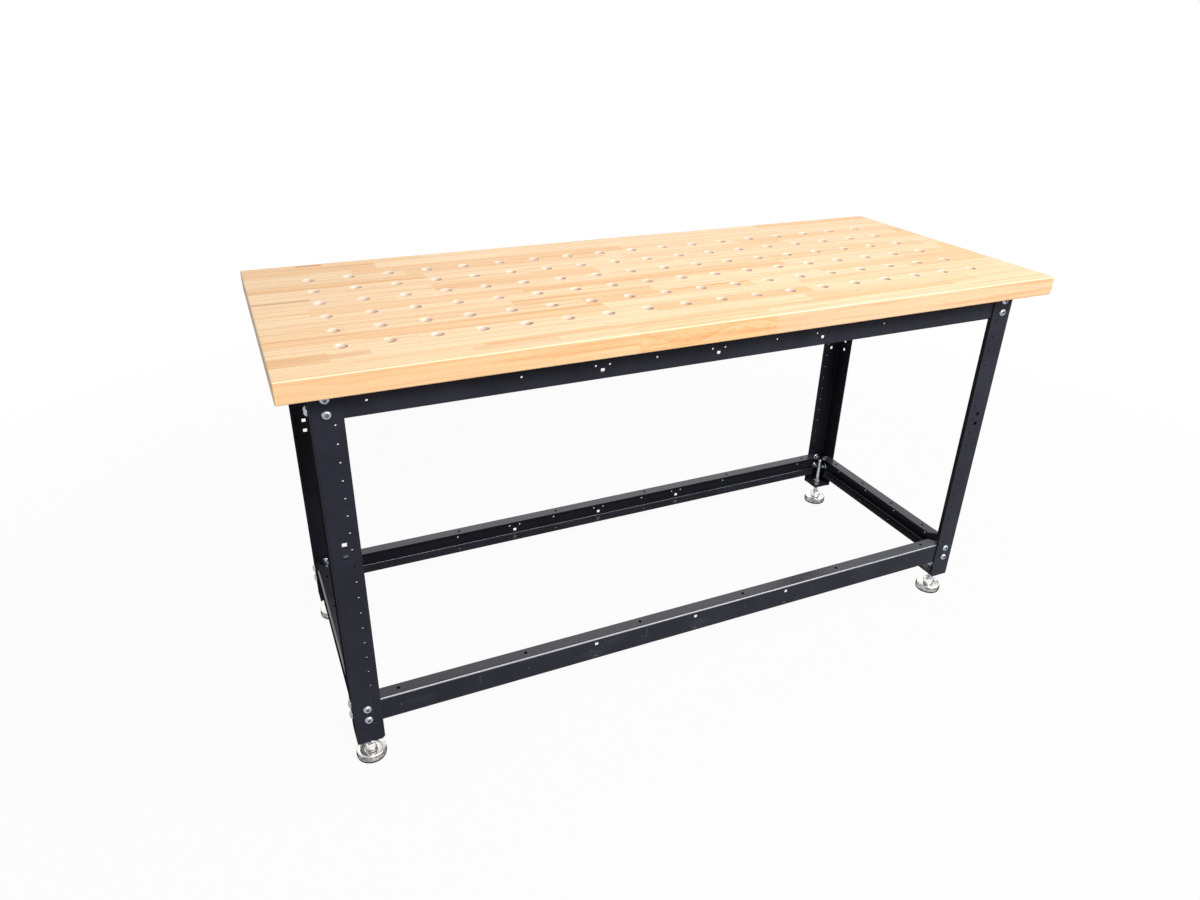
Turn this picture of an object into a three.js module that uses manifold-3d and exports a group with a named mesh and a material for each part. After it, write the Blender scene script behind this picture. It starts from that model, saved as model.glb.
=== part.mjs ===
// Assembly table: a laminated hardwood top with a grid of dog holes, on a bolted steel frame.
// Four angle legs, eight channel rails, thirty-two bolts with nuts and four levelling feet.
// Millimetres, +Z up. The origin is on the floor, below the middle of the top.
import * as THREE from 'three';
import { mergeVertices } from 'three/addons/utils/BufferGeometryUtils.js';
import Module from 'manifold-3d';

const wasm = await Module();
wasm.setup();

// Top
const topLength = 1500;
const topDepth = 600;
const topThickness = 36;
const topEdgeRadius = 2.5;
const dogHoleDiameter = 20;
const dogHolePitch = 75;
const dogHoleMargin = 112.5;
const dogHoleSides = 12;

// Frame, measured to the outside of the legs
const topOverhang = 46;
const sheet = 2.5;
const bendRadius = 4.5;
const fitGap = 0.3;
const smallHoleSides = 6;

// Legs
const legBottom = 52;
const legLength = 705;
const legFlange = 50;
const legCornerCut = 5;
const legRowPitch = 32;
const legRowFromCorner = 36;
const legRowHole = 4;
const legRowMargin = 4;
const legSquare = 8;
const legSquareDrop = 275;
const legSquarePitch = 23;
const footPlateThickness = 4;
const weldDepth = 0.5;

// Rails
const railHeight = 51;
const railFlange = 28;
const railBelowLegTop = 5.5;
const railEndGap = 8;
const lowerRailAboveLeg = 66;
const copeStart = 20;
const copeEnd = 54;
const railHole = 4.5;
const flangeHole = 7;
const railHoleFromCorner = 86;
const railHoleFromWeb = 16;
const longRailHoles = 6;
const shortRailHoles = 4;
const railSquares = 3;
const railSquare = 8;
const railSquarePitch = 226.5;
const lowerSquareOffset = 12.5;
const upperSquareOffset = 9.5;
const railSideHoleOffset = 13;
const railSlotLength = 12;
const railSlotHeight = 4;
const railSlotOffset = 16;

// Bolts and nuts
const boltDiameter = 8;
const boltHeadDiameter = 16;
const boltHeadHeight = 4.4;
const boltPitch = 25;
const boltCrownDiameter = 9.5;
const boltEnd = 2.5;
const nutDiameter = 14;
const nutFlangeDiameter = 17;
const nutHeight = 7.5;
const boltHoleSides = 6;
const boltSides = 8;

// Feet
const studDiameter = 10;
const studTop = 131;
const studSides = 12;
const wrenchHexAcross = 14;
const wrenchHexHeight = 5;
const wrenchHexAbovePad = 1;
const weldNutAcross = 17;
const weldNutHeight = 8;
const rubberDiameter = 55;
const rubberThickness = 2.5;
const padDiameter = 56;
const padHeight = 14;
const padRimWidth = 2.5;
const padTaper = 1.5;
const padFloor = 3;
const padDishDepth = 6.5;
const padHubDiameter = 22;
const padHubTopDiameter = 16;
const padHubRise = 10;
const padSides = 20;
const threadGap = 0.4;

// Levels and spans that follow from the sizes above
const legTop = legBottom + legLength;
const topUnderside = legTop + fitGap;
const baseLength = topLength - 2 * topOverhang;
const baseDepth = topDepth - 2 * topOverhang;
const lowerRailZ = legBottom + lowerRailAboveLeg;
const upperRailZ = legTop - railBelowLegTop - railHeight / 2;
const railFace = sheet + fitGap;
const flangeMiddle = legFlange / 2;
const footFromCorner = legFlange / 2;
const boltHoleDiameter = boltDiameter + 2 * threadGap;
const padBottom = rubberThickness + fitGap;
const padTop = padBottom + padHeight;
const hubTop = padTop + padHubRise;
const studBottom = padBottom + padFloor;

// Finishes, colours as the photo shows them
const finishes = {
  wood: { color: 0xe6bd8a, roughness: 0.5, metalness: 0 },
  powderCoat: { color: 0x34343a, roughness: 0.55, metalness: 0.1 },
  zinc: { color: 0xc4ccd2, roughness: 0.3, metalness: 1 },
  nickel: { color: 0xd6d2c8, roughness: 0.22, metalness: 1 },
  rubber: { color: 0x131313, roughness: 0.85, metalness: 0 },
};

// A closed geometry as a solid that can be cut and joined
function toSolid(geometry) {
  const plain = geometry.clone();
  for (const name of ['normal', 'uv']) plain.deleteAttribute(name);
  const merged = mergeVertices(plain, 1e-4);
  return new wasm.Manifold(new wasm.Mesh({
    numProp: 3,
    vertProperties: new Float32Array(merged.attributes.position.array),
    triVerts: new Uint32Array(merged.index.array),
  }));
}

function toGeometry(solid) {
  const mesh = solid.getMesh();
  const geometry = new THREE.BufferGeometry();
  geometry.setAttribute('position', new THREE.BufferAttribute(mesh.vertProperties, mesh.numProp));
  geometry.setIndex(new THREE.BufferAttribute(mesh.triVerts, 1));
  geometry.computeVertexNormals();
  return geometry;
}

function cutAll(solid, cutters) {
  return cutters.reduce((rest, cutter) => rest.subtract(toSolid(cutter)), solid);
}

function named(name, geometry, finish) {
  const mesh = new THREE.Mesh(geometry, new THREE.MeshStandardMaterial(finishes[finish]));
  mesh.name = name;
  return mesh;
}

// Cutters through a sheet: centre of the hole, and the axis that the hole runs along
function turnToAxis(geometry, axis) {
  if (axis === 'z') geometry.rotateX(Math.PI / 2);
  if (axis === 'x') geometry.rotateZ(Math.PI / 2);
  return geometry;
}

function roundHole(diameter, sides, length, axis, x, y, z) {
  const radius = diameter / 2 / Math.cos(Math.PI / sides);
  return turnToAxis(new THREE.CylinderGeometry(radius, radius, length, sides), axis).translate(x, y, z);
}

function boxHole(sizeX, sizeY, sizeZ, x, y, z) {
  return new THREE.BoxGeometry(sizeX, sizeY, sizeZ).translate(x, y, z);
}

// Evenly spread places about zero
function spread(count, pitch) {
  return Array.from({ length: count }, (_, i) => (i - (count - 1) / 2) * pitch);
}

function fitCount(length, margin, pitch) {
  return Math.floor((length - 2 * margin) / pitch + 1e-6) + 1;
}

// A flat outline pushed along +Z
function extrude(shape, depth, curveSegments = 2) {
  return new THREE.ExtrudeGeometry(shape, { depth, bevelEnabled: false, curveSegments });
}

function benchTop() {
  const edge = topEdgeRadius;
  const halfLength = topLength / 2;
  const halfDepth = topDepth / 2;
  const outline = new THREE.Shape([
    new THREE.Vector2(-halfLength, -halfDepth),
    new THREE.Vector2(halfLength, -halfDepth),
    new THREE.Vector2(halfLength, halfDepth),
    new THREE.Vector2(-halfLength, halfDepth),
  ]);
  const slab = new THREE.ExtrudeGeometry(outline, {
    depth: topThickness - 2 * edge,
    bevelThickness: edge,
    bevelSize: edge,
    bevelOffset: -edge,
    bevelSegments: 2,
  }).translate(0, 0, topUnderside + edge);
  const columns = fitCount(topLength, dogHoleMargin, dogHolePitch);
  const rows = fitCount(topDepth, dogHoleMargin, dogHolePitch);
  const middle = topUnderside + topThickness / 2;
  const holes = spread(columns, dogHolePitch).flatMap((x) => spread(rows, dogHolePitch).map(
    (y) => roundHole(dogHoleDiameter, dogHoleSides, 2 * topThickness, 'z', x, y, middle),
  ));
  return named('bench_top', toGeometry(cutAll(toSolid(slab), holes)), 'wood');
}

// The corner frame: the outer corner of a leg at zero, flanges along +X and +Y, Z from the floor
function angleOutline() {
  const outer = bendRadius;
  const inner = bendRadius - sheet;
  const shape = new THREE.Shape();
  shape.moveTo(legFlange, 0);
  shape.lineTo(legFlange, sheet);
  shape.lineTo(outer, sheet);
  shape.absarc(outer, outer, inner, -Math.PI / 2, -Math.PI, true);
  shape.lineTo(sheet, legFlange);
  shape.lineTo(0, legFlange);
  shape.lineTo(0, outer);
  shape.absarc(outer, outer, outer, Math.PI, 1.5 * Math.PI, false);
  return shape;
}

function legRowHeights() {
  const first = lowerRailZ + legRowPitch;
  const last = upperRailZ - railHeight / 2 - legRowMargin;
  const count = Math.floor((last - first) / legRowPitch + 1e-6) + 1;
  return Array.from({ length: count }, (_, i) => first + i * legRowPitch);
}

// Cutters for all holes of the leg flange whose holes run along the axis
function legFlangeCutters(axis) {
  const depth = 4 * sheet;
  const place = (along, z, make) => (axis === 'y' ? make(along, sheet / 2, z) : make(sheet / 2, along, z));
  const cutters = legRowHeights().map((z) => place(legRowFromCorner, z,
    (x, y, h) => roundHole(legRowHole, smallHoleSides, depth, axis, x, y, h)));
  for (const railZ of [lowerRailZ, upperRailZ]) {
    for (const dz of [-boltPitch / 2, boltPitch / 2]) {
      cutters.push(place(flangeMiddle, railZ + dz,
        (x, y, h) => roundHole(boltHoleDiameter, boltHoleSides, depth, axis, x, y, h)));
    }
  }
  for (const drop of [legSquareDrop, legSquareDrop + legSquarePitch]) {
    const wide = axis === 'y' ? [legSquare, depth] : [depth, legSquare];
    cutters.push(place(flangeMiddle, legTop - drop,
      (x, y, h) => boxHole(wide[0], wide[1], legSquare, x, y, h)));
  }
  return cutters;
}

// A slanting cut off the lower free corner of a flange
function legCornerCutter(axis) {
  const reach = legCornerCut * Math.SQRT2;
  const cutter = axis === 'y'
    ? new THREE.BoxGeometry(reach, 4 * sheet, reach).rotateY(Math.PI / 4).translate(legFlange, 0, legBottom)
    : new THREE.BoxGeometry(4 * sheet, reach, reach).rotateX(Math.PI / 4).translate(0, legFlange, legBottom);
  return cutter;
}

function legSolid() {
  const angle = toSolid(extrude(angleOutline(), legLength).translate(0, 0, legBottom));
  const plateStart = sheet - weldDepth;
  const plateSide = legFlange - plateStart;
  const plateMiddle = plateStart + plateSide / 2;
  const plateBottom = legBottom + legCornerCut;
  const plate = new THREE.BoxGeometry(plateSide, plateSide, footPlateThickness)
    .translate(plateMiddle, plateMiddle, plateBottom + footPlateThickness / 2);
  const nutRadius = weldNutAcross / 2 / Math.cos(Math.PI / 6);
  const plateTop = plateBottom + footPlateThickness;
  const nut = turnToAxis(new THREE.CylinderGeometry(nutRadius, nutRadius, weldNutHeight, 6), 'z')
    .translate(footFromCorner, footFromCorner, plateTop + weldNutHeight / 2);
  const thread = roundHole(studDiameter + 2 * threadGap, studSides, 8 * weldNutHeight, 'z',
    footFromCorner, footFromCorner, plateTop);
  const joined = angle.add(toSolid(plate)).add(toSolid(nut));
  return cutAll(joined, [
    thread,
    ...legFlangeCutters('y'),
    ...legFlangeCutters('x'),
    legCornerCutter('y'),
    legCornerCutter('x'),
  ]);
}

// A rail in its own frame: length along X, outer web face at y = 0, flanges to +Y, middle at z = 0
function channelOutline() {
  const half = railHeight / 2;
  const outer = bendRadius;
  const inner = bendRadius - sheet;
  const shape = new THREE.Shape();
  shape.moveTo(railFlange, -half);
  shape.lineTo(railFlange, -half + sheet);
  shape.lineTo(outer, -half + sheet);
  shape.absarc(outer, -half + outer, inner, -Math.PI / 2, -Math.PI, true);
  shape.lineTo(sheet, half - outer);
  shape.absarc(outer, half - outer, inner, Math.PI, Math.PI / 2, true);
  shape.lineTo(railFlange, half - sheet);
  shape.lineTo(railFlange, half);
  shape.lineTo(outer, half);
  shape.absarc(outer, half - outer, outer, Math.PI / 2, Math.PI, false);
  shape.lineTo(0, -half + outer);
  shape.absarc(outer, -half + outer, outer, Math.PI, 1.5 * Math.PI, false);
  return shape;
}

// The flanges swing away from the web in a curve near each end, so that two rails meet in a corner
function copeCutter(span, end) {
  const cornerX = end * span / 2;
  const into = -end;
  const shape = new THREE.Shape();
  shape.moveTo(cornerX, sheet);
  shape.lineTo(cornerX + into * copeStart, sheet);
  shape.quadraticCurveTo(
    cornerX + into * (copeStart + copeEnd) / 2, sheet,
    cornerX + into * copeEnd, railFlange + fitGap,
  );
  shape.lineTo(cornerX, railFlange + fitGap);
  return extrude(shape, 2 * railHeight, 4).translate(0, 0, -railHeight);
}

// Square holes lie above the middle by squareOffset, and a rail without that offset has none
function railSolid(span, holeCount, squareOffset) {
  const length = span - 2 * railEndGap;
  const profile = extrude(channelOutline(), length)
    .rotateX(Math.PI / 2)
    .rotateZ(Math.PI / 2)
    .translate(-length / 2, 0, 0);
  const depth = 4 * sheet;
  const web = sheet / 2;
  const holePitch = (span - 2 * railHoleFromCorner) / (holeCount - 1);
  const cutters = [copeCutter(span, -1), copeCutter(span, 1)];
  for (const x of spread(holeCount, holePitch)) {
    cutters.push(roundHole(railHole, smallHoleSides, depth, 'y', x, web, 0));
    for (const side of [-1, 1]) {
      const flange = side * (railHeight - sheet) / 2;
      cutters.push(roundHole(flangeHole, smallHoleSides, depth, 'z', x, railHoleFromWeb, flange));
    }
  }
  for (const x of [-span / 2 + flangeMiddle, span / 2 - flangeMiddle]) {
    for (const dz of [-boltPitch / 2, boltPitch / 2]) {
      cutters.push(roundHole(boltHoleDiameter, boltHoleSides, depth, 'y', x, web, dz));
    }
  }
  if (squareOffset) {
    for (const x of spread(railSquares, railSquarePitch)) {
      cutters.push(boxHole(railSquare, depth, railSquare, x, web, squareOffset));
      cutters.push(boxHole(railSlotLength, depth, railSlotHeight, x, web, -railSlotOffset));
      for (const dx of [-railSideHoleOffset, railSideHoleOffset]) {
        cutters.push(roundHole(railHole, smallHoleSides, depth, 'y', x + dx, web, 0));
      }
    }
  }
  return cutAll(toSolid(profile), cutters);
}

// A button-head bolt with its flange nut run up tight, head outwards, shank along +Y
function boltGeometry() {
  const grip = 2 * sheet + 2 * fitGap;
  const nutFace = grip + fitGap;
  const points = [
    [0, -boltHeadHeight - fitGap],
    [boltCrownDiameter / 2, -boltHeadHeight - fitGap],
    [boltHeadDiameter / 2, -fitGap],
    [boltDiameter / 2, -fitGap],
    [boltDiameter / 2, nutFace],
    [nutFlangeDiameter / 2, nutFace],
    [nutDiameter / 2, nutFace + nutHeight],
    [boltDiameter / 2, nutFace + nutHeight],
    [boltDiameter / 2, nutFace + nutHeight + boltEnd],
    [0, nutFace + nutHeight + boltEnd],
  ].map(([r, y]) => new THREE.Vector2(r, y));
  return new THREE.LatheGeometry(points, boltSides);
}

// Turned pieces of the foot, profile as [radius, height above the floor]
function turned(profile, sides) {
  const points = profile.map(([r, z]) => new THREE.Vector2(r, z));
  return new THREE.LatheGeometry(points, sides).rotateX(Math.PI / 2);
}

function rubberGeometry() {
  return turned([
    [0, 0],
    [rubberDiameter / 2, 0],
    [rubberDiameter / 2, rubberThickness],
    [0, rubberThickness],
  ], padSides);
}

function padGeometry() {
  const rimOuter = padDiameter / 2 - padTaper;
  const rimInner = rimOuter - padRimWidth;
  const hub = padHubDiameter / 2;
  const dishFloor = padTop - padDishDepth;
  const socket = (studDiameter / 2 + threadGap) / Math.cos(Math.PI / padSides);
  return turned([
    [0, padBottom],
    [padDiameter / 2, padBottom],
    [rimOuter, padTop],
    [rimInner, padTop],
    [(rimInner + hub) / 2 + padRimWidth, dishFloor],
    [hub + padRimWidth, dishFloor],
    [hub, padTop],
    [padHubTopDiameter / 2, hubTop],
    [socket, hubTop],
    [socket, studBottom - fitGap],
    [0, studBottom - fitGap],
  ], padSides);
}

function studGeometry() {
  const rod = studDiameter / 2;
  const tip = rod / 5;
  const stud = toSolid(turned([
    [0, studBottom],
    [rod, studBottom],
    [rod, studTop - tip],
    [rod - tip, studTop],
    [0, studTop],
  ], studSides));
  const hexRadius = wrenchHexAcross / 2 / Math.cos(Math.PI / 6);
  const hex = turnToAxis(new THREE.CylinderGeometry(hexRadius, hexRadius, wrenchHexHeight, 6), 'z')
    .translate(0, 0, hubTop + wrenchHexAbovePad + wrenchHexHeight / 2);
  return toGeometry(stud.add(toSolid(hex)));
}

// Four corners, each a group turned so that its frame runs inwards from the leg's outer corner
const corners = [
  { name: 'front_left', sideX: -1, sideY: -1 },
  { name: 'front_right', sideX: 1, sideY: -1 },
  { name: 'rear_left', sideX: -1, sideY: 1 },
  { name: 'rear_right', sideX: 1, sideY: 1 },
];

function cornerGroup({ name, sideX, sideY }, shapes) {
  const group = new THREE.Group();
  group.position.set(sideX * baseLength / 2, sideY * baseDepth / 2, 0);
  group.scale.set(-sideX, -sideY, 1);
  group.add(named(`leg_${name}`, shapes.leg, 'powderCoat'));
  for (const [level, railZ] of [['lower', lowerRailZ], ['upper', upperRailZ]]) {
    for (const [place, dz] of [['bottom', -boltPitch / 2], ['top', boltPitch / 2]]) {
      const long = named(`bolt_${name}_${level}_long_${place}`, shapes.bolt, 'zinc');
      long.position.set(flangeMiddle, 0, railZ + dz);
      const short = named(`bolt_${name}_${level}_short_${place}`, shapes.bolt, 'zinc');
      short.position.set(0, flangeMiddle, railZ + dz);
      short.rotation.z = -Math.PI / 2;
      group.add(long, short);
    }
  }
  const foot = new THREE.Group();
  foot.position.set(footFromCorner, footFromCorner, 0);
  foot.add(named(`foot_stud_${name}`, shapes.stud, 'zinc'));
  foot.add(named(`foot_pad_${name}`, shapes.pad, 'nickel'));
  foot.add(named(`foot_rubber_${name}`, shapes.rubber, 'rubber'));
  group.add(foot);
  return group;
}

// Rails by name: their shape, which side they close, and whether the shape stands up (1) or upside down (-1)
const rails = [
  { name: 'rail_lower_front', shape: 'lowerLongRail', side: -1, z: lowerRailZ, up: 1 },
  { name: 'rail_lower_rear', shape: 'lowerLongRail', side: 1, z: lowerRailZ, up: -1 },
  { name: 'rail_lower_left', shape: 'shortRail', side: -1, z: lowerRailZ, up: 1 },
  { name: 'rail_lower_right', shape: 'shortRail', side: 1, z: lowerRailZ, up: 1 },
  { name: 'rail_upper_front', shape: 'upperLongRail', side: -1, z: upperRailZ, up: -1 },
  { name: 'rail_upper_rear', shape: 'upperLongRail', side: 1, z: upperRailZ, up: -1 },
  { name: 'rail_upper_left', shape: 'shortRail', side: -1, z: upperRailZ, up: 1 },
  { name: 'rail_upper_right', shape: 'shortRail', side: 1, z: upperRailZ, up: 1 },
];

function railMesh({ name, shape, side, z, up }, shapes) {
  const mesh = named(name, shapes[shape], 'powderCoat');
  if (shape === 'shortRail') {
    mesh.position.set(side * (baseLength / 2 - railFace), 0, z);
    mesh.rotation.z = side * Math.PI / 2;
  } else {
    mesh.position.set(0, side * (baseDepth / 2 - railFace), z);
    mesh.scale.set(1, -side, up);
  }
  return mesh;
}

const shapes = {
  leg: toGeometry(legSolid()),
  lowerLongRail: toGeometry(railSolid(baseLength, longRailHoles, lowerSquareOffset)),
  upperLongRail: toGeometry(railSolid(baseLength, longRailHoles, upperSquareOffset)),
  shortRail: toGeometry(railSolid(baseDepth, shortRailHoles)),
  bolt: boltGeometry(),
  stud: studGeometry(),
  pad: padGeometry(),
  rubber: rubberGeometry(),
};

const table = new THREE.Group();
table.name = 'assembly_table';
table.add(benchTop());
for (const rail of rails) table.add(railMesh(rail, shapes));
for (const corner of corners) table.add(cornerGroup(corner, shapes));

export default table;
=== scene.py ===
"""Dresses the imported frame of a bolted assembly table.

Its pieces are a drilled hardwood top, bent steel legs and rails, fasteners and plated feet.
"""

import itertools
import math

import bmesh
import bpy
from bpy.props import FloatProperty, FloatVectorProperty, IntProperty, PointerProperty
from mathutils import Matrix, Vector


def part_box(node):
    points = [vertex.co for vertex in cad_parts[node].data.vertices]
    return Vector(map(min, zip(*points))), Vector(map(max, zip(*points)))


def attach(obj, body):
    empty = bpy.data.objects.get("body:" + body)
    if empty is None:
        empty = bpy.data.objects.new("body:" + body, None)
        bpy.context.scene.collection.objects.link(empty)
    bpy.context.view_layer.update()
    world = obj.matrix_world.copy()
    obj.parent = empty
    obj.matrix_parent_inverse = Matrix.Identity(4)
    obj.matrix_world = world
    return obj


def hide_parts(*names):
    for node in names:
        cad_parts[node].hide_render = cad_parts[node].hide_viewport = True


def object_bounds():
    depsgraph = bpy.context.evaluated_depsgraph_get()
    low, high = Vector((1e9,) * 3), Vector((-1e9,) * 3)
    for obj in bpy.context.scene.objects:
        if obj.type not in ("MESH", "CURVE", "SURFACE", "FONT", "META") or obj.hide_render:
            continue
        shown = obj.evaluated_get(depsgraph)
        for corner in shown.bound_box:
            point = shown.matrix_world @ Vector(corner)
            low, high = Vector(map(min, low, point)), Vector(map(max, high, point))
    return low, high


bl_info = {
    "name": "Assembly Table",
    "version": (1, 0, 0),
    "blender": (4, 5, 0),
    "location": "View3D > Sidebar > Assembly Table",
    "description": "Dresses the packed frame of a table with its wood, steel and hardware",
    "category": "Object",
}

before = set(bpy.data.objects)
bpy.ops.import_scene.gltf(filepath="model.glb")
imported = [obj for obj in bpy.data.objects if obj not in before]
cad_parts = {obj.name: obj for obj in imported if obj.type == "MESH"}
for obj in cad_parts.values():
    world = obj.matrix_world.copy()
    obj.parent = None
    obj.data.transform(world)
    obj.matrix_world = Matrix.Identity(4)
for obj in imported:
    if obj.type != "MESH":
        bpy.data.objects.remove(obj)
CAD_LOW, CAD_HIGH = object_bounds()

AXES = ((1.0, 0.0, 0.0), (0.0, 1.0, 0.0), (0.0, 0.0, 1.0))
# Each corner's side along X and along Y
CORNERS = {
    "front_left": (-1, -1),
    "front_right": (1, -1),
    "rear_left": (-1, 1),
    "rear_right": (1, 1),
}
# Each rail: the axis that its web looks along (0 is X, 1 is Y), its side of the table, and whether
# a long rail's square holes sit above (1) or below (-1) its middle
RAILS = {
    "rail_lower_front": (1, -1, 1),
    "rail_lower_rear": (1, 1, -1),
    "rail_upper_front": (1, -1, -1),
    "rail_upper_rear": (1, 1, -1),
    "rail_lower_left": (0, -1, 1),
    "rail_lower_right": (0, 1, 1),
    "rail_upper_left": (0, -1, 1),
    "rail_upper_right": (0, 1, 1),
}
LEG_LOW, LEG_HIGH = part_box("leg_front_left")
LEG_MIDDLE = (LEG_HIGH.x - LEG_LOW.x) / 2
# Length and depth of the bolted base, over the outer faces of its legs
BASE_SIZE = [far - near for near, far in zip(LEG_LOW.xy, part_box("leg_rear_right")[1].xy)]
TOP_LOW, TOP_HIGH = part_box("bench_top")
RAIL_MIDDLE = sum(corner.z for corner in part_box("rail_lower_front")) / 2

# Gaps in metres between pieces that touch, and under bolt heads, nuts and screw heads
FIT_GAP = 0.00005
BOLT_GAP = 0.0003
SCREW_GAP = 0.0001
# Gaps round a stud: over its diameter in the foot plate, over its radius in the nut and in the
# hub, and under its end in the hub
STUD_CLEARANCE = 0.0008
NUT_BORE_GAP = 0.0003
HUB_BORE_GAP = 0.0004
HUB_FLOOR_GAP = 0.0003
# Gaps between a pad and the lip of its sole: beside the lip and above it
NOTCH_GAP = 0.0006
LIP_GAP = 0.0001
# A collar's gap in its hole, the thickness of its wall there, and how deep it sits below the face
COLLAR_GAP = 0.0001
COLLAR_WALL = 0.0003
COLLAR_DROP = 0.0006
# A socket's depth, and how far a bolt ends past its nut
SOCKET_DEPTH = 0.0026
BOLT_PAST_NUT = 0.0025
# A stud's thread: its depth as a share of its pitch, where it starts above the hexagon and ends
# below the stud's top, its steps in one turn and the sides of its section
RIDGE_SHARE = 0.36
THREAD_START = 0.001
THREAD_END = 0.0022
THREAD_STEPS = 18
RIDGE_SIDES = 4
# A wood screw's plain neck, thread pitch and tapered end
SCREW_NECK = 0.004
SCREW_PITCH = 0.0018
SCREW_TAPER = 0.006
# A punch is this many sheets deep, and the foot plate's punch is this long
PUNCH_DEPTH = 6
PLATE_PUNCH = 0.05
# A hole's wall lies within this share of its size
HOLE_REACH = 0.75
# How far the cut at a rail's end runs past the frame's corner, and its steps along the curve
COPE_PAST_END = 0.01
COPE_STEPS = 10
# A fastener's point has a size too, but isn't scaled by it
UNIT_SIZE = (1.0, 1.0, 1.0)
# Marks a hexagon among the rings of a turned shape
HEXAGON = "hexagon"
FASTENER_SIDES = 24
SCREW_SIDES = 12
# Edges sharper than this stay sharp, in degrees
SHEET_CREASE = 35
FASTENER_CREASE = 32
TURNED_CREASE = 40

# Scuffs are fine across a piece and long along it
SCUFFS_ALONG_X = (5.0, 260.0, 260.0)
SCUFFS_ALONG_Y = (260.0, 5.0, 260.0)
SCUFFS_ALONG_Z = (260.0, 260.0, 5.0)
# The span of blotch values that goes from a finish's plain colour to its blotched one
BLOTCH_SPAN = (0.35, 0.7)
# What multiplies the wood's colour in each of its features
WOOD_TINTS = {
    "warm block": (1.0, 0.93, 0.83),
    "growth ring": (0.80, 0.62, 0.45),
    "streak": (0.85, 0.68, 0.51),
    "pore": (0.74, 0.58, 0.44),
    "glue joint": (0.78, 0.62, 0.48),
    "sawn end": (0.66, 0.60, 0.58),
    "long edge": (1.0, 0.85, 0.735),
    "right front block": (0.98, 0.91, 0.99),
    "arch": (0.92, 0.74, 0.58),
}
# Distance between growth rings
RING_SPACING = 0.0065
# How uneven staves and blocks are, where the staves start, how far their blocks are shifted, and
# what each adds to the key of a block's chance values
STAVE_UNEVENNESS = 0.42
BLOCK_UNEVENNESS = 0.8
STAVE_START = 40.37
BLOCK_SHIFT = 37.0
STAVE_KEY = 91.0
BLOCK_KEY = 57.0
# Half widths of a glue joint's dark core and of its faint edge
JOINT_WIDTHS = (0.00025, 0.0011)
# What the left, middle and right blocks of the front stave are
FRONT_BLOCKS = {
    "Tone": (0.42, 0.36, 0.05),
    "Warmth": (0.66, 0.95, 0.30),
    "Rings": (0.18, 0.74, 0.40),
}
# The long arches in the middle block: tip before the right joint, height, and reach along and up
ARCH_TIP = 0.07
ARCH_LEVEL = 0.019
ARCH_REACH = (0.034, 0.0085)
# Depths below the work surface between which the painted shade deep in a hole begins
HOLE_SHADE_DEPTHS = (0.0080, 0.0042)

# Rubbed places on the web of the lower front rail: centre, reach and strength
RAIL_RUBS = (
    ((-0.468, -0.250, 0.124), (0.0016, 0.02, 0.016), 0.55),
    ((-0.115, -0.250, 0.125), (0.0016, 0.02, 0.018), 0.50),
    ((-0.236, -0.250, 0.108), (0.034, 0.02, 0.012), 0.22),
    ((-0.190, -0.250, 0.128), (0.030, 0.02, 0.008), 0.16),
    ((-0.585, -0.250, 0.118), (0.040, 0.02, 0.010), 0.12),
    ((0.012, -0.250, 0.112), (0.024, 0.02, 0.014), 0.22),
    ((0.300, -0.250, 0.112), (0.0016, 0.02, 0.016), 0.35),
)
# Scale along each axis of the noise that breaks them up
RUB_GRAIN = (500.0, 500.0, 90.0)
# Half the height over which the bends' painted highlight and gloss come in at the lower rails'
# middle
BEND_SHEEN_EDGE = 0.002

# Each lamp's width and height, its place and the point that it looks at
LAMPS = {
    "key": ((4.0, 0.9), (0.6, -2.7, 2.65), (0.1, 0.0, 0.6)),
    "right": ((1.6, 1.2), (3.4, -2.5, 2.8), (0.5, 0.0, 0.5)),
    "back": ((3.0, 1.4), (1.4, 2.8, 2.4), (0.0, 0.0, 0.5)),
    "overhead": ((3.6, 1.6), (0.1, 0.1, 3.4), (0.0, 0.0, 0.7)),
}
# Half the floor's width, and the colour of its faint patches
FLOOR_HALF = 12.0
FLOOR_PATCH = (0.52, 0.52, 0.52)
# Distances from the table's middle between which the floor runs into the white background
FLOOR_FADE = (1.1, 2.6)
WHITE = (1.0, 1.0, 1.0)
SENSOR_WIDTH = 36.0


# Settings


def length(name, default, description):
    """A length in metres that a user may change."""
    return FloatProperty(
        name=name, description=description, default=default, min=0.0, unit="LENGTH", precision=4
    )


def place_along(name, default, description):
    """A place along an axis, on either side of the table's middle."""
    return FloatProperty(name=name, description=description, default=default, unit="LENGTH")


def count(name, default, least, description):
    """A whole number that a user may change."""
    return IntProperty(name=name, description=description, default=default, min=least)


def colour(name, default, description):
    """A linear colour that a user may change."""
    limits = {"size": 3, "min": 0.0, "max": 1.0, "subtype": "COLOR"}
    return FloatVectorProperty(name=name, description=description, default=default, **limits)


def angle(name, degrees, description):
    """An angle that a user may change."""
    return FloatProperty(
        name=name, description=description, default=math.radians(degrees), subtype="ANGLE"
    )


def strength(name, default, description):
    """The strength of a light."""
    return FloatProperty(name=name, description=description, default=default, min=0.0)


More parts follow.
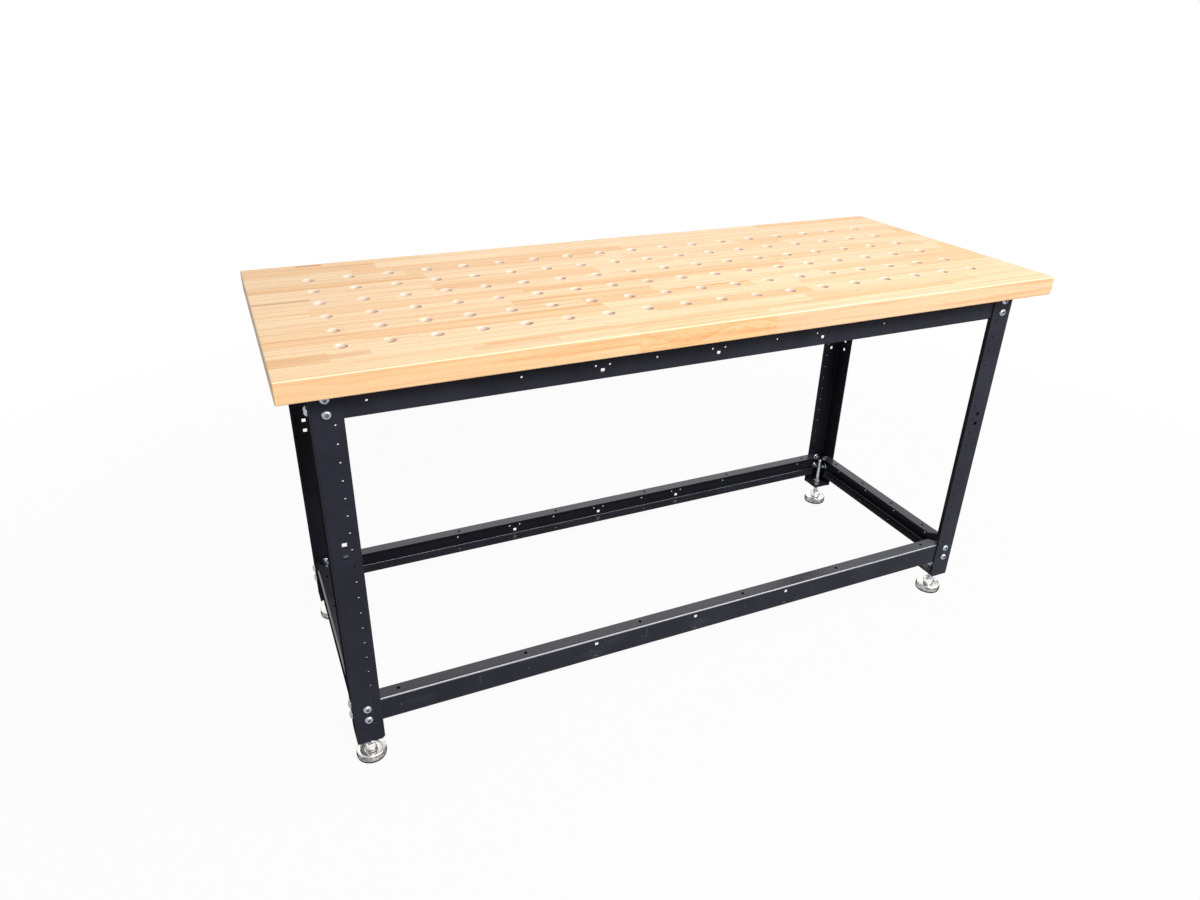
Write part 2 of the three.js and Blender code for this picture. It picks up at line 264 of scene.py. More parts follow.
class TopSettings(bpy.types.PropertyGroup):
    """Sizes and colours of the wooden top."""

    hole_diameter: length("Dog Hole", 0.020, "Diameter of the bored dog holes")
    hole_pitch: length("Hole Pitch", 0.075, "Distance between neighbouring dog holes")
    hole_columns: count("Hole Columns", 18, 1, "Dog holes along the top")
    hole_rows: count("Hole Rows", 6, 1, "Dog holes across the top")
    hole_sides: count("Hole Sides", 32, 6, "Sides of a bored hole")
    hole_chamfer: length("Hole Chamfer", 0.0009, "Width of the eased rim of a dog hole")
    edge_radius: length("Edge Radius", 0.0025, "Radius of the eased edges")
    stave_width: length("Stave Width", 0.037, "Mean width of one glued stave")
    front_stave: length("Front Stave", 0.036, "Width of the stave along the front edge")
    front_joint_left: place_along(
        "Left Front Joint", -0.183, "Place along X of the front stave's left butt joint"
    )
    front_joint_right: place_along(
        "Right Front Joint", 0.082, "Place along X of the front stave's right butt joint"
    )
    block_length: length("Block Length", 0.42, "Mean length of one block within a stave")
    pale: colour("Pale Wood", (0.88, 0.655, 0.410), "Colour of most of the blocks")
    tan: colour("Tan Wood", (0.82, 0.53, 0.285), "Colour of the darker blocks")
    dark_tan: colour("Darkest Blocks", (0.68, 0.38, 0.185), "Colour of the few darkest wood blocks")
    streak: colour("Dark Streak", (0.56, 0.27, 0.125), "Colour of mineral streaks and knots")
    # Colour of the eased edges: partly rubbing wear, partly a painted highlight
    rubbed_and_sheen: colour("Rubbed Edge", (0.92, 0.78, 0.58), "Colour of the rubbed upper edges")
    # The pale bored colour is partly the fresh wood and partly painted light brightening the hole
    # walls
    bored: colour("Bored Wood", (0.97, 0.83, 0.72), "Colour of the freshly bored hole walls")
    # Painted shade deep inside the dog holes
    hole_depth_shade: colour("Scorched Wood", (0.42, 0.21, 0.13), "Colour deep inside the dog holes")


class SteelSettings(bpy.types.PropertyGroup):
    """Sizes and colours of the bent steel legs and rails."""

    sheet: length("Sheet", 0.0025, "Thickness of the steel")
    bend_radius: length("Bend Radius", 0.0045, "Outer radius of the bends")
    bend_steps: count("Bend Steps", 7, 1, "Faces round one bend")
    hole_sides: count("Hole Sides", 14, 4, "Sides of a round punched hole")
    leg_row_hole: length("Leg Row Hole", 0.0034, "Diameter of the small holes along a leg")
    leg_row_pitch: length("Leg Row Pitch", 0.032, "Distance between the small holes along a leg")
    leg_row_inset: length(
        "Leg Row Inset", 0.036, "Distance of that row from the leg's outer corner"
    )
    leg_row_start: length(
        "Leg Row Start", 0.098, "Height of the lowest small hole above the leg's lower end"
    )
    leg_row_count: count("Leg Row Count", 18, 1, "Small holes along a leg flange")
    leg_square: length("Leg Square", 0.008, "Side of the square holes half way up a leg")
    leg_square_drop: length(
        "Leg Square Drop", 0.275, "Distance of the upper square hole below the leg's top"
    )
    leg_square_pitch: length("Leg Square Pitch", 0.023, "Distance between the two square holes")
    corner_cut: length("Corner Cut", 0.005, "Size of the cut at a leg flange's lower corner")
    plate_thickness: length("Foot Plate", 0.004, "Thickness of the plate that carries the foot")
    weld_nut_across: length(
        "Weld Nut", 0.017, "Size across flats of the weld nut on the foot plate"
    )
    weld_nut_height: length("Weld Nut Height", 0.008, "Height of the weld nut")
    bolt_hole: length("Bolt Hole", 0.0088, "Diameter of the bolt holes")
    bolt_pitch: length("Bolt Pitch", 0.025, "Distance between the two bolts of a rail end")
    cope_start: length(
        "Cope Start", 0.020, "Distance from the frame's corner to where a flange has no width"
    )
    cope_end: length(
        "Cope End", 0.054, "Distance from the frame's corner to where a flange has its full width"
    )
    rail_hole: length("Rail Hole", 0.0042, "Diameter of the round holes in the rails")
    flange_hole: length("Flange Hole", 0.007, "Diameter of the round holes in the rails' flanges")
    collar_diameter: length(
        "Thread Collar", 0.0105, "Outer diameter of the pressed collars inside the flange holes"
    )
    collar_height: length(
        "Collar Height", 0.005, "Height of the collars under a lower rail's upper flange"
    )
    rail_hole_inset: length(
        "Rail Hole Inset", 0.086, "Distance of the outer holes from the frame's corner"
    )
    rail_hole_from_web: length(
        "Hole From Web", 0.016, "Distance of the flange holes from the rail's outer face"
    )
    long_rail_holes: count("Long Rail Holes", 6, 2, "Holes along a long rail")
    short_rail_holes: count("Short Rail Holes", 4, 2, "Holes along a short rail")
    square_pitch: length("Square Pitch", 0.2265, "Distance between the square holes of a long rail")
    lower_square: length(
        "Lower Square Offset", 0.0125, "Distance of a lower rail's square holes from its middle"
    )
    upper_square: length(
        "Upper Square Offset", 0.0095, "Distance of an upper rail's square holes from its middle"
    )
    side_hole_offset: length(
        "Side Hole Offset", 0.013, "Distance of the two holes beside a square hole"
    )
    slot_length: length("Slot Length", 0.012, "Length of the slot opposite a square hole")
    slot_height: length("Slot Height", 0.004, "Height of that slot")
    slot_offset: length("Slot Offset", 0.016, "Distance of that slot from the rail's middle")
    coat: colour("Coat", (0.0190, 0.0195, 0.0280), "Colour of the powder coat")
    # Also used for the painted highlight on the upward bends
    coat_wear_and_sheen: colour("Rubbed Coat", (0.075, 0.076, 0.082), "Colour of scuffs and dust on the coat")


class HardwareSettings(bpy.types.PropertyGroup):
    """Sizes and colours of bolts, nuts and screws."""

    bolt_diameter: length("Bolt", 0.008, "Diameter of the frame bolts")
    head_diameter: length("Bolt Head", 0.016, "Diameter of the button heads")
    head_height: length("Head Height", 0.0044, "Height of the button heads")
    socket_across: length("Socket", 0.0052, "Size across flats of the socket")
    nut_across: length("Nut", 0.013, "Size across flats of the nut")
    nut_flange: length("Nut Flange", 0.017, "Diameter of the nut's flange")
    nut_height: length("Nut Height", 0.0075, "Height of the nut")
    thread_pitch: length("Thread Pitch", 0.00125, "Pitch of the bolt's thread")
    turn_seed: IntProperty(
        name="Turn Seed", description="Fixes how far each fastener is turned", default=11
    )
    screw_diameter: length("Wood Screw", 0.0042, "Diameter of the screws that hold the top")
    screw_head: length("Screw Head", 0.010, "Diameter of their heads")
    screw_length: length("Screw Length", 0.032, "Length of the screws under the head")
    zinc: colour("Zinc", (0.44, 0.475, 0.52), "Colour of the bright zinc plating")


class FootSettings(bpy.types.PropertyGroup):
    """Sizes and colours of the levelling feet."""

    stud_diameter: length("Stud", 0.010, "Diameter of the threaded stud")
    stud_pitch: length("Stud Pitch", 0.0015, "Pitch of the stud's thread")
    wrench_across: length("Wrench Hexagon", 0.014, "Size across flats of the hexagon")
    wrench_height: length("Hexagon Height", 0.005, "Height of the hexagon")
    wrench_above_hub: length("Hexagon Gap", 0.001, "Gap between the pad's hub and the hexagon")
    rim_round: length("Rim Rounding", 0.002, "Radius from the pad's wall to its rim")
    rim_edge: length("Rim Edge", 0.0008, "Radius from the rim into the dish")
    rim_taper: length("Rim Taper", 0.0006, "How far the rim leans in")
    dish_depth: length("Dish Depth", 0.0065, "Depth of the dish below the rim")
    hub_diameter: length("Hub", 0.022, "Diameter of the pad's hub at the rim's level")
    hub_top: length("Hub Top", 0.016, "Diameter of the hub at its top")
    hub_rise: length("Hub Rise", 0.010, "Height of the hub above the rim")
    lip_height: length("Sole Lip", 0.0014, "Height of the sole's lip round the pad's lower edge")
    lip_width: length("Sole Lip Width", 0.0012, "Width of that lip")
    sides: count("Pad Sides", 64, 12, "Sides of the turned pads")
    # The wall outside this radius is painted dark, as painted shade and painted reflection
    pad_wall: length("Pad Wall", 0.0258, "Radius outside which a pad's upright wall is dull")
    stud_zinc: colour(
        "Stud Zinc", (0.68, 0.72, 0.76), "Colour of the studs and of the nuts on the foot plates"
    )
    nickel: colour("Nickel", (0.96, 0.95, 0.93), "Colour of the bright plated pads")
    rubber: colour("Rubber", (0.016, 0.016, 0.017), "Colour of the rubber soles")


class StageSettings(bpy.types.PropertyGroup):
    """Floor, light and camera."""

    camera_place: FloatVectorProperty(
        name="Camera Place",
        description="Where the camera stands",
        default=(-0.79117, -1.47471, 1.26097),
        size=3,
        subtype="TRANSLATION",
        unit="LENGTH",
    )
    heading: angle("Heading", 24.674, "Turn of the view from +Y towards +X")
    pitch: angle("Pitch", 27.284, "How far the view looks down")
    roll: angle("Roll", 1.238, "Turn of the picture about the view")
    focal_length: FloatProperty(
        name="Focal Length", description="On a 36 mm wide sensor", default=25.812, min=1.0
    )
    floor: colour("Floor", (0.55, 0.55, 0.55), "Colour of the floor where it is not lit up white")
    floor_glow: FloatProperty(
        name="Floor White",
        description="Share of plain white in the floor as the camera sees it",
        default=0.95,
        min=0.0,
        max=1.0,
        subtype="FACTOR",
    )
    sky: strength("Sky", 0.20, "Strength of the even light from all round")
    key: strength("Key Light", 132.0, "Power of the lamp at the front")
    right: strength("Right Light", 45.0, "Power of the lamp at the far right")
    back: strength("Back Light", 6.0, "Power of the lamp behind on the right")
    overhead: strength("Overhead Light", 33.0, "Power of the lamp above")


class TableSettings(bpy.types.PropertyGroup):
    """All settings of the assembly table."""

    top: PointerProperty(type=TopSettings)
    steel: PointerProperty(type=SteelSettings)
    hardware: PointerProperty(type=HardwareSettings)
    foot: PointerProperty(type=FootSettings)
    stage: PointerProperty(type=StageSettings)


# Node trees


def shared(store, name, make, *given):
    """A material or node group that is made once and then used again under its name."""
    return store.get(name) or make(name, *given)


def opaque(shade):
    """A plain colour with its alpha. A socket stays as it is."""
    return shade if isinstance(shade, bpy.types.NodeSocket) else (*shade, 1.0)


class Net:
    """A node tree that is written down as sums on its sockets."""

    def __init__(self, tree):
        self.tree = tree

    def fill(self, node, inputs):
        """Sets a node's inputs by name or number. A socket is linked, and so is each in a list."""
        for name, value in inputs.items():
            for given in value if isinstance(value, list) else [value]:
                if isinstance(given, bpy.types.NodeSocket):
                    self.tree.links.new(given, node.inputs[name])
                else:
                    node.inputs[name].default_value = given

    def node(self, kind, inputs=None, **settings):
        """Adds a node with its own settings and inputs. Returns its outputs."""
        made = self.tree.nodes.new(kind)
        for name, value in settings.items():
            setattr(made, name, value)
        self.fill(made, inputs or {})
        return made.outputs

    def group(self, name, make, inputs):
        """Puts a shared shader node group into a material."""
        tree = shared(bpy.data.node_groups, name, make)
        return self.node("ShaderNodeGroup", inputs, node_tree=tree)

    def maths(self, operation, *values, clamp=False):
        """The result of one sum on values."""
        inputs = dict(enumerate(values))
        return self.node("ShaderNodeMath", inputs, operation=operation, use_clamp=clamp)[0]

    def times(self, first, *others):
        """The product of values."""
        for other in others:
            first = self.maths("MULTIPLY", first, other)
        return first

    def scaled_sum(self, value, scale, start):
        """A value times a scale, added to a start."""
        return self.maths("MULTIPLY_ADD", value, scale, start)

    def size(self, value):
        """A value without its sign."""
        return self.maths("ABSOLUTE", value)

    def gap(self, first, second):
        """How far two values lie apart."""
        return self.size(self.maths("SUBTRACT", first, second))

    def rest(self, share):
        """What a share leaves of one."""
        return self.maths("SUBTRACT", 1.0, share)

    def remap(self, value, low, high, to_low=0.0, to_high=1.0, kind="LINEAR"):
        """A value carried from one range to another and held inside it."""
        inputs = dict(enumerate((value, low, high, to_low, to_high)))
        return self.node("ShaderNodeMapRange", inputs, interpolation_type=kind)[0]

    def ease(self, *given):
        """A value carried from one range to another with soft ends."""
        return self.remap(*given, kind="SMOOTHSTEP")

    def choose(self, factor, first, second):
        """The first value where the factor is 0 and the second where it is 1."""
        return self.node("ShaderNodeMix", {0: factor, 2: first, 3: second}, data_type="FLOAT")[0]

    def mix(self, factor, first, second, blend="MIX"):
        """Two colours blended by a factor."""
        inputs = {0: factor, 6: opaque(first), 7: opaque(second)}
        return self.node("ShaderNodeMix", inputs, data_type="RGBA", blend_type=blend)[2]

    def tint(self, factor, shade, tint):
        """A colour that is multiplied by a tint as far as the factor says."""
        return self.mix(factor, shade, self.mix(1.0, shade, tint, "MULTIPLY"))

    def vector(self, operation, *values):
        """The outputs of one sum on vectors."""
        inputs = dict(enumerate(values))
        return self.node("ShaderNodeVectorMath", inputs, operation=operation)

    def distance(self, vector):
        """The length of a vector."""
        return self.vector("LENGTH", vector)["Value"]

    def split(self, vector):
        """A vector's X, Y and Z."""
        return self.node("ShaderNodeSeparateXYZ", {0: vector})

    def join(self, *values):
        """The vector of up to three values."""
        return self.node("ShaderNodeCombineXYZ", dict(enumerate(values)))[0]

    def noise(self, coordinates, scale, detail=2.0, roughness=0.5, distortion=0.0):
        """A soft noise value."""
        inputs = {"Vector": coordinates, "Scale": scale}
        inputs |= {"Detail": detail, "Roughness": roughness, "Distortion": distortion}
        return self.node("ShaderNodeTexNoise", inputs)["Fac"]

    def drawn_noise(self, coordinates, scale, *kind):
        """A soft noise value that is drawn out, with its own scale along each axis."""
        return self.noise(self.vector("MULTIPLY", coordinates, scale)[0], 1.0, *kind)

    def cells(self, along, randomness):
        """A row of cells of uneven length: each cell's chance values, and how near its end is."""
        kind = "ShaderNodeTexVoronoi"
        inputs = {"W": along, "Scale": 1.0, "Randomness": randomness}
        cell = self.node(kind, inputs, voronoi_dimensions="1D")
        edge = self.node(kind, inputs, voronoi_dimensions="1D", feature="DISTANCE_TO_EDGE")
        return self.node("ShaderNodeSeparateColor", {0: cell["Color"]}), edge["Distance"]

    def place(self):
        """The piece's own coordinates, which are the table's."""
        return self.node("ShaderNodeTexCoord")["Object"]

    def facing(self):
        """The X, Y and Z of the surface's direction."""
        return self.split(self.node("ShaderNodeNewGeometry")["Normal"])

    def recess(self):
        """The mark of painted shade on the insides of holes and sockets."""
        return self.node("ShaderNodeAttribute", attribute_name="recess")["Fac"]

    def edge_on(self):
        """0 where a surface looks at the eye and 1 where it is seen edge on."""
        return self.node("ShaderNodeLayerWeight", {"Blend": 0.5})["Facing"]

    def looked_at(self):
        """1 where the camera, gloss or glass looks straight at the surface."""
        path = self.node("ShaderNodeLightPath")
        seen = self.maths("MAXIMUM", path["Is Camera Ray"], path["Is Glossy Ray"])
        return self.maths("MAXIMUM", seen, path["Is Transmission Ray"])

    def bump(self, height, amount, distance):
        """The shader's normal over a height."""
        inputs = {"Strength": amount, "Distance": distance, "Height": height}
        return self.node("ShaderNodeBump", inputs)["Normal"]

    def shape(self, given):
        """The geometry of an object that is an input of the tree."""
        return self.node("GeometryNodeObjectInfo", {"Object": given})["Geometry"]

    def attribute(self, name, kind):
        """A named attribute of the points."""
        inputs = {"Name": name}
        return self.node("GeometryNodeInputNamedAttribute", inputs, data_type=kind)["Attribute"]

    def turn(self):
        """The rotation that carries +Z to the points' facing."""
        inputs = {"Vector": self.attribute("facing", "FLOAT_VECTOR")}
        return self.node("FunctionNodeAlignRotationToVector", inputs, axis="Z")["Rotation"]

    def on_points(self, points, instance, **inputs):
        """Copies of a shape on points."""
        inputs = {"Points": points, "Instance": instance, **inputs}
        return self.node("GeometryNodeInstanceOnPoints", inputs)[0]

    def realised(self, geometry):
        """Instances made real."""
        return self.node("GeometryNodeRealizeInstances", {0: geometry})[0]

    def cut(self, geometry, tools):
        """A solid from which tools are cut."""
        inputs = {"Mesh 1": geometry, "Mesh 2": tools}
        kind = {"operation": "DIFFERENCE", "solver": "MANIFOLD"}
        return self.node("GeometryNodeMeshBoolean", inputs, **kind)["Mesh"]

    def finished(self, geometry, material):
        """Real geometry in its finish."""
        inputs = {"Geometry": self.realised(geometry), "Material": material}
        return self.node("GeometryNodeSetMaterial", inputs)[0]


def shader_group(name, inputs, outputs):
    """A new shader node group. Returns its net, its input sockets and its output node."""
    tree = bpy.data.node_groups.new(name, "ShaderNodeTree")
    for socket, default in inputs.items():
        kind = "NodeSocketVector" if isinstance(default, tuple) else "NodeSocketFloat"
        made = tree.interface.new_socket(socket, in_out="INPUT", socket_type=kind)
        made.default_value = default
    for socket in outputs:
        tree.interface.new_socket(socket, in_out="OUTPUT", socket_type="NodeSocketFloat")
    return Net(tree), tree.nodes.new("NodeGroupInput").outputs, tree.nodes.new("NodeGroupOutput")


def staves_group(name):
    """Staves glued side by side along X, each of blocks end to end.

    Puts out what each block is, and where the joints are.
    """
    net, given, made = shader_group(
        name,
        {
            "Stave Width": 0.037,
            "Block Length": 0.42,
            "Front Edge": -0.264,
            "Left Joint": -0.183,
            "Right Joint": 0.082,
        },
        ("Tone", "Warmth", "Rings", "Joint"),
    )
    place = net.split(net.place())
    across = net.maths("DIVIDE", place["Y"], given["Stave Width"])
    stave, stave_edge = net.cells(net.maths("ADD", across, STAVE_START), STAVE_UNEVENNESS)
    along = net.maths("DIVIDE", place["X"], given["Block Length"])
    along = net.maths("ADD", along, net.times(stave[0], BLOCK_SHIFT))
    block, block_edge = net.cells(along, BLOCK_UNEVENNESS)
    key = net.join(net.times(stave[1], STAVE_KEY), net.times(block[1], BLOCK_KEY))
    chance = net.node("ShaderNodeTexWhiteNoise", {"Vector": key}, noise_dimensions="3D")
    chance_parts = net.node("ShaderNodeSeparateColor", {0: chance["Color"]})
    glue = net.times(stave_edge, given["Stave Width"])
    butt = net.times(block_edge, given["Block Length"])
    nearest = net.maths("MINIMUM", glue, butt)
    # The stave along the front edge has three blocks with joints at stated places
    front = net.maths("LESS_THAN", place["Y"], given["Front Edge"])
    front_gap = net.gap(place["Y"], given["Front Edge"])
    front_near = front_gap
    past_joints = []
    for joint in ("Left Joint", "Right Joint"):
        past_joints.append(net.maths("GREATER_THAN", place["X"], given[joint]))
        front_near = net.maths("MINIMUM", front_near, net.gap(place["X"], given[joint]))
    past_left, past_right = past_joints
    nearest = net.choose(front, net.maths("MINIMUM", nearest, front_gap), front_near)
    chances = {"Tone": chance["Value"], "Warmth": chance_parts[0], "Rings": chance_parts[1]}
    for output, (left, middle, right) in FRONT_BLOCKS.items():
        value = net.choose(past_right, net.choose(past_left, left, middle), right)
        net.fill(made, {output: net.choose(front, chances[output], value)})
    net.fill(made, {"Joint": net.ease(nearest, *JOINT_WIDTHS, 1.0, 0.0)})
    return net.tree


def grain_group(name):
    """Growth rings, streaks and pores of a log cut along X, moved about for each block."""
    net, given, made = shader_group(
        name, {"Rings": 0.0, "Tone": 0.0, "Ring Spacing": 0.006}, ("Ring", "Streak", "Pore")
    )
    # Each block comes from another place in the log
    shift = net.join(
        net.times(given["Tone"], 13.0),
        net.scaled_sum(given["Rings"], 0.26, -0.13),
        net.scaled_sum(given["Tone"], 0.16, -0.95),
    )
    moved = net.vector("ADD", net.place(), shift)[0]
    place = net.split(moved)
    wobble = net.drawn_noise(moved, (2.2, 9.0, 9.0), 2.0, 0.55)
    across = net.scaled_sum(wobble, 0.05, place["Y"])
    # A log that lies at a tilt shows arches in some blocks and straight lines in others
    tilt = net.scaled_sum(given["Rings"], 0.05, -0.025)
    height = net.scaled_sum(place["X"], tilt, place["Z"])
    squares = net.maths("ADD", net.times(across, across), net.times(height, height))
    turns = net.maths("DIVIDE", net.maths("SQRT", squares), given["Ring Spacing"])
    pore = net.drawn_noise(moved, (90.0, 1500.0, 1500.0), 1.0)
    outputs = {
        "Ring": net.maths("POWER", net.maths("FRACT", turns), 2.2),
        "Streak": net.drawn_noise(moved, (2.4, 130.0, 130.0), 3.0, 0.6, 0.25),
        "Pore": net.ease(pore, 0.60, 0.74),
    }
    net.fill(made, outputs)
    return net.tree


def handling_group(name):
    """Marks of making and handling: soft blotches, long fine scuffs and a fine skin texture."""
    net, given, made = shader_group(
        name,
        {"Scuff Stretch": SCUFFS_ALONG_X, "Blotch Scale": 11.0, "Skin Scale": 900.0},
        ("Blotch", "Scuff", "Skin"),
    )
    place = net.place()
    lines = net.ease(net.drawn_noise(place, given["Scuff Stretch"], 2.0, 0.6), 0.64, 0.74)
    patches = net.ease(net.noise(place, 7.0, 1.0), 0.50, 0.62)
    outputs = {
        "Blotch": net.noise(place, given["Blotch Scale"], 4.0, 0.6),
        "Scuff": net.times(lines, patches),
        "Skin": net.noise(place, given["Skin Scale"]),
    }
    net.fill(made, outputs)
    return net.tree


# Finishes


def new_material(name):
    """A material with only a Principled BSDF and its output. Returns it, its net and the BSDF."""
    material = bpy.data.materials.new(name)
    material.use_nodes = True
    tree = material.node_tree
    bsdf = next(node for node in tree.nodes if node.type == "BSDF_PRINCIPLED")
    return material, Net(tree), bsdf


def handling_marks(net, scuff_stretch, blotch_scale, skin_scale):
    """The marks of handling, at a finish's own scales."""
    scales = {"Blotch Scale": blotch_scale, "Skin Scale": skin_scale}
    scales["Scuff Stretch"] = scuff_stretch
    return net.group("Handling marks", handling_group, scales)


def rub_mark(net, coordinates, centre, reach):
    """A soft-edged spot, broken up by noise. centre and reach are in metres."""
    away = net.vector("SUBTRACT", coordinates, centre)[0]
    scaled = net.vector("MULTIPLY", away, tuple(1.0 / size for size in reach))[0]
    ragged = net.scaled_sum(net.drawn_noise(coordinates, RUB_GRAIN), 1.6, -0.8)
    return net.ease(net.maths("ADD", net.distance(scaled), ragged), 0.35, 1.1, 1.0, 0.0)


def block_mark(net, coordinates, low, high):
    """One glued block with crisp ends and a little grain, between two corners in X and Y."""
    place = net.split(coordinates)
    inside = net.remap(net.drawn_noise(coordinates, (9.0, 420.0, 1.0), 3.0), 0.3, 0.6, 0.55, 1.0)
    soft = 0.0008
    for axis, first, last in zip("XY", low, high):
        away = net.gap(place[axis], (first + last) / 2)
        half = (last - first) / 2
        inside = net.times(inside, net.remap(away, half - soft, half + soft, 1.0, 0.0))
    return inside


def marked_blocks(settings):
    """Blocks and streaks of the top that stand out: corners in X and Y, colour and strength."""
    return (
        ((-0.760, -0.238), (-0.600, -0.218), settings.dark_tan, 0.75),
        ((-0.430, 0.034), (-0.258, 0.062), settings.dark_tan, 0.45),
        ((-0.455, -0.282), (-0.313, -0.262), settings.dark_tan, 0.50),
        ((-0.480, -0.115), (-0.280, -0.095), settings.dark_tan, 0.35),
        ((-0.760, 0.056), (-0.651, 0.067), settings.streak, 0.75),
        ((-0.649, 0.283), (-0.600, 0.294), settings.streak, 0.95),
    )


def arch_lines(net, coordinates, settings):
    """Long arches of a flat-sawn board, between the two joints of the front stave."""
    place = net.split(coordinates)
    tip = settings.front_joint_right - ARCH_TIP
    along = net.maths("DIVIDE", net.maths("SUBTRACT", place["X"], tip), ARCH_REACH[0])
    above = net.maths("SUBTRACT", place["Z"], TOP_LOW.z + ARCH_LEVEL)
    up = net.maths("DIVIDE", above, ARCH_REACH[1])
    wander = net.drawn_noise(coordinates, (14.0, 14.0, 90.0), 3.0, 0.6)
    arch = net.scaled_sum(wander, 3.2, net.scaled_sum(up, up, along))
    line = net.maths("POWER", net.maths("FRACT", arch), 2.0)
    past_left = net.maths("GREATER_THAN", place["X"], settings.front_joint_left)
    before_right = net.maths("LESS_THAN", place["X"], settings.front_joint_right)
    in_front = net.maths("LESS_THAN", place["Y"], 0.0)
    return net.times(line, net.times(past_left, before_right, in_front))


def wood_material(name, settings):
    """Oiled hardwood of glued blocks."""
    material, net, bsdf = new_material(name)
    sizes = {
        "Stave Width": settings.stave_width,
        "Block Length": settings.block_length,
        "Front Edge": TOP_LOW.y + settings.front_stave,
        "Left Joint": settings.front_joint_left,
        "Right Joint": settings.front_joint_right,
    }
    staves = net.group("Glued staves", staves_group, sizes)
    cut = {"Rings": staves["Rings"], "Tone": staves["Tone"], "Ring Spacing": RING_SPACING}
    grain = net.group("Long grain", grain_group, cut)
    coordinates = net.place()
    # A third of the blocks are pale, and the others are more and more tan
    shade = net.mix(net.ease(staves["Tone"], 0.35, 1.0, 0.0, 0.7), settings.pale, settings.tan)
    warm = net.remap(staves["Warmth"], 0.3, 1.0, 0.0, 0.75)
    shade = net.tint(warm, shade, WOOD_TINTS["warm block"])
    ring = net.times(grain["Ring"], net.remap(staves["Warmth"], 0.0, 1.0, 0.10, 0.42))
    shade = net.tint(ring, shade, WOOD_TINTS["growth ring"])
    streak = net.ease(grain["Streak"], 0.42, 0.76, 0.0, 0.9)
    shade = net.tint(streak, shade, WOOD_TINTS["streak"])
    shade = net.tint(net.times(grain["Pore"], 0.5), shade, WOOD_TINTS["pore"])
    for low, high, stain, share in marked_blocks(settings):
        mark = block_mark(net, coordinates, low, high)
        shade = net.mix(net.times(mark, share), shade, stain)
    shade = net.tint(net.times(staves["Joint"], 0.25), shade, WOOD_TINTS["glue joint"])
    facing = net.facing()
    # Faces that look along X, the sawn ends, are tinted grey-brown
    end_face = net.remap(net.size(facing["X"]), 0.75, 0.98, 0.0, 0.55)
    shade = net.tint(end_face, shade, WOOD_TINTS["sawn end"])
    # The long edge faces show the richer colour of the stave's side
    long_face = net.remap(net.size(facing["Y"]), 0.75, 0.98, 0.0, 0.8)
    shade = net.tint(long_face, shade, WOOD_TINTS["long edge"])
    # The right block of the front stave is pinker than the others
    past_joint = net.maths("GREATER_THAN", net.split(coordinates)["X"], settings.front_joint_right)
    shade = net.tint(net.times(past_joint, long_face), shade, WOOD_TINTS["right front block"])
    arches = net.times(arch_lines(net, coordinates, settings), long_face)
    shade = net.tint(arches, shade, WOOD_TINTS["arch"])
    # Painted highlight: the eased upper edges are lightened, partly rubbing wear and partly a
    # painted highlight along the edge
    eased = net.ease(facing["Z"], 0.30, 0.55)
    eased = net.times(eased, net.ease(facing["Z"], 0.86, 0.98, 1.0, 0.0))
    shade = net.mix(net.times(eased, 0.6), shade, settings.rubbed_and_sheen)
    height = net.scaled_sum(grain["Pore"], -0.5, grain["Streak"])
    height = net.scaled_sum(staves["Joint"], -0.7, height)
    finish = {
        "Base Color": shade,
        "Roughness": net.remap(grain["Streak"], 0.3, 0.8, 0.42, 0.56),
        "Normal": net.bump(height, amount=0.22, distance=0.0004),
    }
    net.fill(bsdf, finish)
    return material


def bored_material(name, settings):
    """Freshly bored wood inside the dog holes, with the marks of the drill."""
    material, net, bsdf = new_material(name)
    coordinates = net.place()
    turned = net.drawn_noise(coordinates, (60.0, 60.0, 1400.0), 2.0, 0.6)
    patchy = net.noise(coordinates, 120.0, 3.0, 0.6)
    # The pale bored colour is partly painted light that brightens the hole walls
    darker = net.mix(1.0, settings.bored, (0.93, 0.81, 0.70), "MULTIPLY")
    shade = net.mix(net.ease(patchy, 0.35, 0.7), settings.bored, darker)
    shade = net.mix(net.ease(turned, 0.5, 0.8, 0.0, 0.5), shade, darker)
    # Painted shade: deep in the hole the wall is darkened towards a reddish brown
    deep, shallow = [TOP_HIGH.z - depth for depth in HOLE_SHADE_DEPTHS]
    hole_depth_shade = net.ease(net.split(coordinates)["Z"], deep, shallow, 0.85, 0.0)
    finish = {
        "Base Color": net.mix(hole_depth_shade, shade, settings.hole_depth_shade),
        "Roughness": net.remap(turned, 0.2, 0.8, 0.62, 0.8),
        "Normal": net.bump(turned, amount=0.35, distance=0.0003),
    }
    net.fill(bsdf, finish)
    return material


